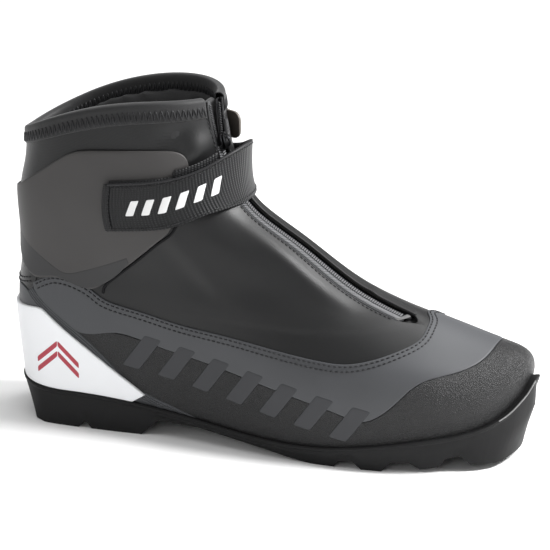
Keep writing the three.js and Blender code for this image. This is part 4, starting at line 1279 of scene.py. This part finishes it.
def makeSole():
    half = soleColumns()
    ringS = np.concatenate([half, -half[-2:0:-1]])
    n = len(ringS)
    lip = [(-soleFit["lap"] - 2.6, 0.8), (-1.1, 0.0), (0.15, 0.0), (0.75, 0.7), (0.7, 1.7), (0.1, 2.3),
           (-0.1, 3.0), (0.0, 3.8)]
    rows = [lipPlace(ringS, np.full(n, offset), drop) for offset, drop in lip]
    reach = soleFit["frontLow"] - soleFit["rearLow"]
    ringX = soleFit["rearLow"] + reach * (1 + np.cos(np.pi * ringS)) / 2
    x = ringX[:len(half)]
    lowZ = np.interp(ringX, *np.transpose(treadLine))
    ends = np.sqrt(np.tanh((ringX - soleFit["rearLow"]) / 6) * np.tanh((soleFit["frontLow"] - ringX) / 10))
    sign = np.where(ringS > 0, -1, 1) * (np.abs(np.sin(np.pi * ringS)) > 1e-6)
    lowEdge = np.stack([ringX, sign * lowHalf(ringX) * ends + middleY(ringX), lowZ], -1)
    wallTop = rows[-1]
    for share in (0.35, 0.7, 1.0):
        bow = math.sin(math.pi * share)
        place = wallTop * (1 - share) + lowEdge * share
        place[:, 1] -= np.sign(place[:, 1]) * bow * 0.5
        place[:, 0] += 4.6 * (1 - share) ** 1.5 * smooth(282, 300, place[:, 0])
        rows.append(place)
    points = list(np.concatenate(rows))
    faces = gridFaces(len(rows), n, closed=True)
    bottomRow = (len(rows) - 1) * n
    lines = [-13.5, -13, -10.5, -10, -6, -5.5, 0, 5.5, 6, 10, 10.5, 13, 13.5]
    m = len(half)
    cross = []
    for i in range(m):
        outer, inner = bottomRow + i, bottomRow + ((n - i) % n)
        if i in (0, m - 1):
            cross.append([outer] * (len(lines) + 2))
            continue
        centre = (points[outer][1] + points[inner][1]) / 2
        room = min(1.0, (points[inner][1] - points[outer][1]) / 2 / 15)
        made = [outer]
        for y in lines:
            z = points[outer][2]
            if abs(abs(y) - soleGroove["centre"]) < soleGroove["half"] - 0.2:
                z = max(z + 0.7, baseLine(x[i]) + soleGroove["depth"] * room)
            if abs(y) <= barSlot["half"] and barSlot["low"] + 0.2 < x[i] < barSlot["high"] - 0.2:
                z = barSlot["ceiling"]
            made.append(len(points))
            points.append(np.array([x[i], centre + y * room, z]))
        cross.append(made + [inner])
    for a, b in zip(cross, cross[1:]):
        for k in range(len(lines) + 1):
            face = [a[k], a[k + 1], b[k + 1], b[k]]
            face = [corner for at, corner in enumerate(face) if corner not in face[:at]]
            if len(face) > 2:
                faces.append(face)
    return stack(newObject("sole", points, faces, mats["rubber"]), None, 0, soleFit["bevel"])


# a light grey wire on the toe lip's bead: the bead's highlight, painted
lipAt = np.linspace(0.02, 0.125, 40)
done(wire("lipBeadHighlight", lipPlace(lipAt, np.full(40, 0.5), 0.25), 0.42, mats["beadHighlight"]), "sole_rubber")
done(makeSole(), "sole_rubber", "sole_body", "heel_tread", "forefoot_tread")
print("sole")

# generic marks

def decal(name, corners, lift, material, slotName, steps):  # four (x, z) corners, in side view
    a, b, c, d = [np.array(corner, float) for corner in corners]
    t = np.linspace(0, 1, steps[0])[:, None, None]
    u = np.linspace(0, 1, steps[1])[None, :, None]
    place = (a * (1 - u) + b * u) * (1 - t) + (d * (1 - u) + c * u) * t
    s, v = side(place[..., 0], place[..., 1])
    done(skinGrid(name, s, v, np.full(s.shape, lift), material, 0.3, 1), slotName)


sideBars = dict(first=78, z=49.0, fall=0.178, pitch=21, width=10.5, lean=7, half=9.5, drop=2, count=7,
                lift=0.9)
for index in range(sideBars["count"]):
    step = sideBars["pitch"] * index
    x = sideBars["first"] + step
    footX, headX = x - sideBars["lean"], x + sideBars["lean"]
    middle = sideBars["z"] - sideBars["fall"] * step
    low, high = middle - sideBars["half"], middle + sideBars["half"]
    corners = [(footX, low), (footX + sideBars["width"], low - sideBars["drop"]),
               (headX + sideBars["width"], high - sideBars["drop"]), (headX, high)]
    decal(f"sideBar{index + 1}", corners, sideBars["lift"], mats["print"], "toe_rand", (11, 5))
peak = dict(x=33, z=44, width=13, rise=12, stroke=3.6, gap=6, lift=2.42)
for index in range(2):
    x, top = peak["x"], peak["z"] - peak["gap"] * index + peak["rise"] / 2
    foot, stroke = top - peak["rise"], peak["stroke"]
    for name, (a, b), (c, d) in (("peakRear", (x - peak["width"], foot), (x, top)),
                                 ("peakFront", (x, top), (x + peak["width"], foot))):
        corners = [(a, b - stroke), (c, d - stroke), (c, d), (a, b)]
        decal(f"{name}{index + 1}", corners, peak["lift"], mats["red"], "white_cap", (4, 8))
print("marks")

# finishes of the CAD nodes that stay

kept = dict(strap_pin="steel", binding_bar="steel", lasting_board="board", shank_plate="plastic",
            toe_puff="plastic",
            heel_stiffener="plastic", eyestay_outer="plastic", eyestay_inner="plastic")
for node, finish in kept.items():
    part = frame["nodes"][node]
    part.data.materials.clear()
    part.data.materials.append(mats[finish])
print("kept parts:", len(kept))
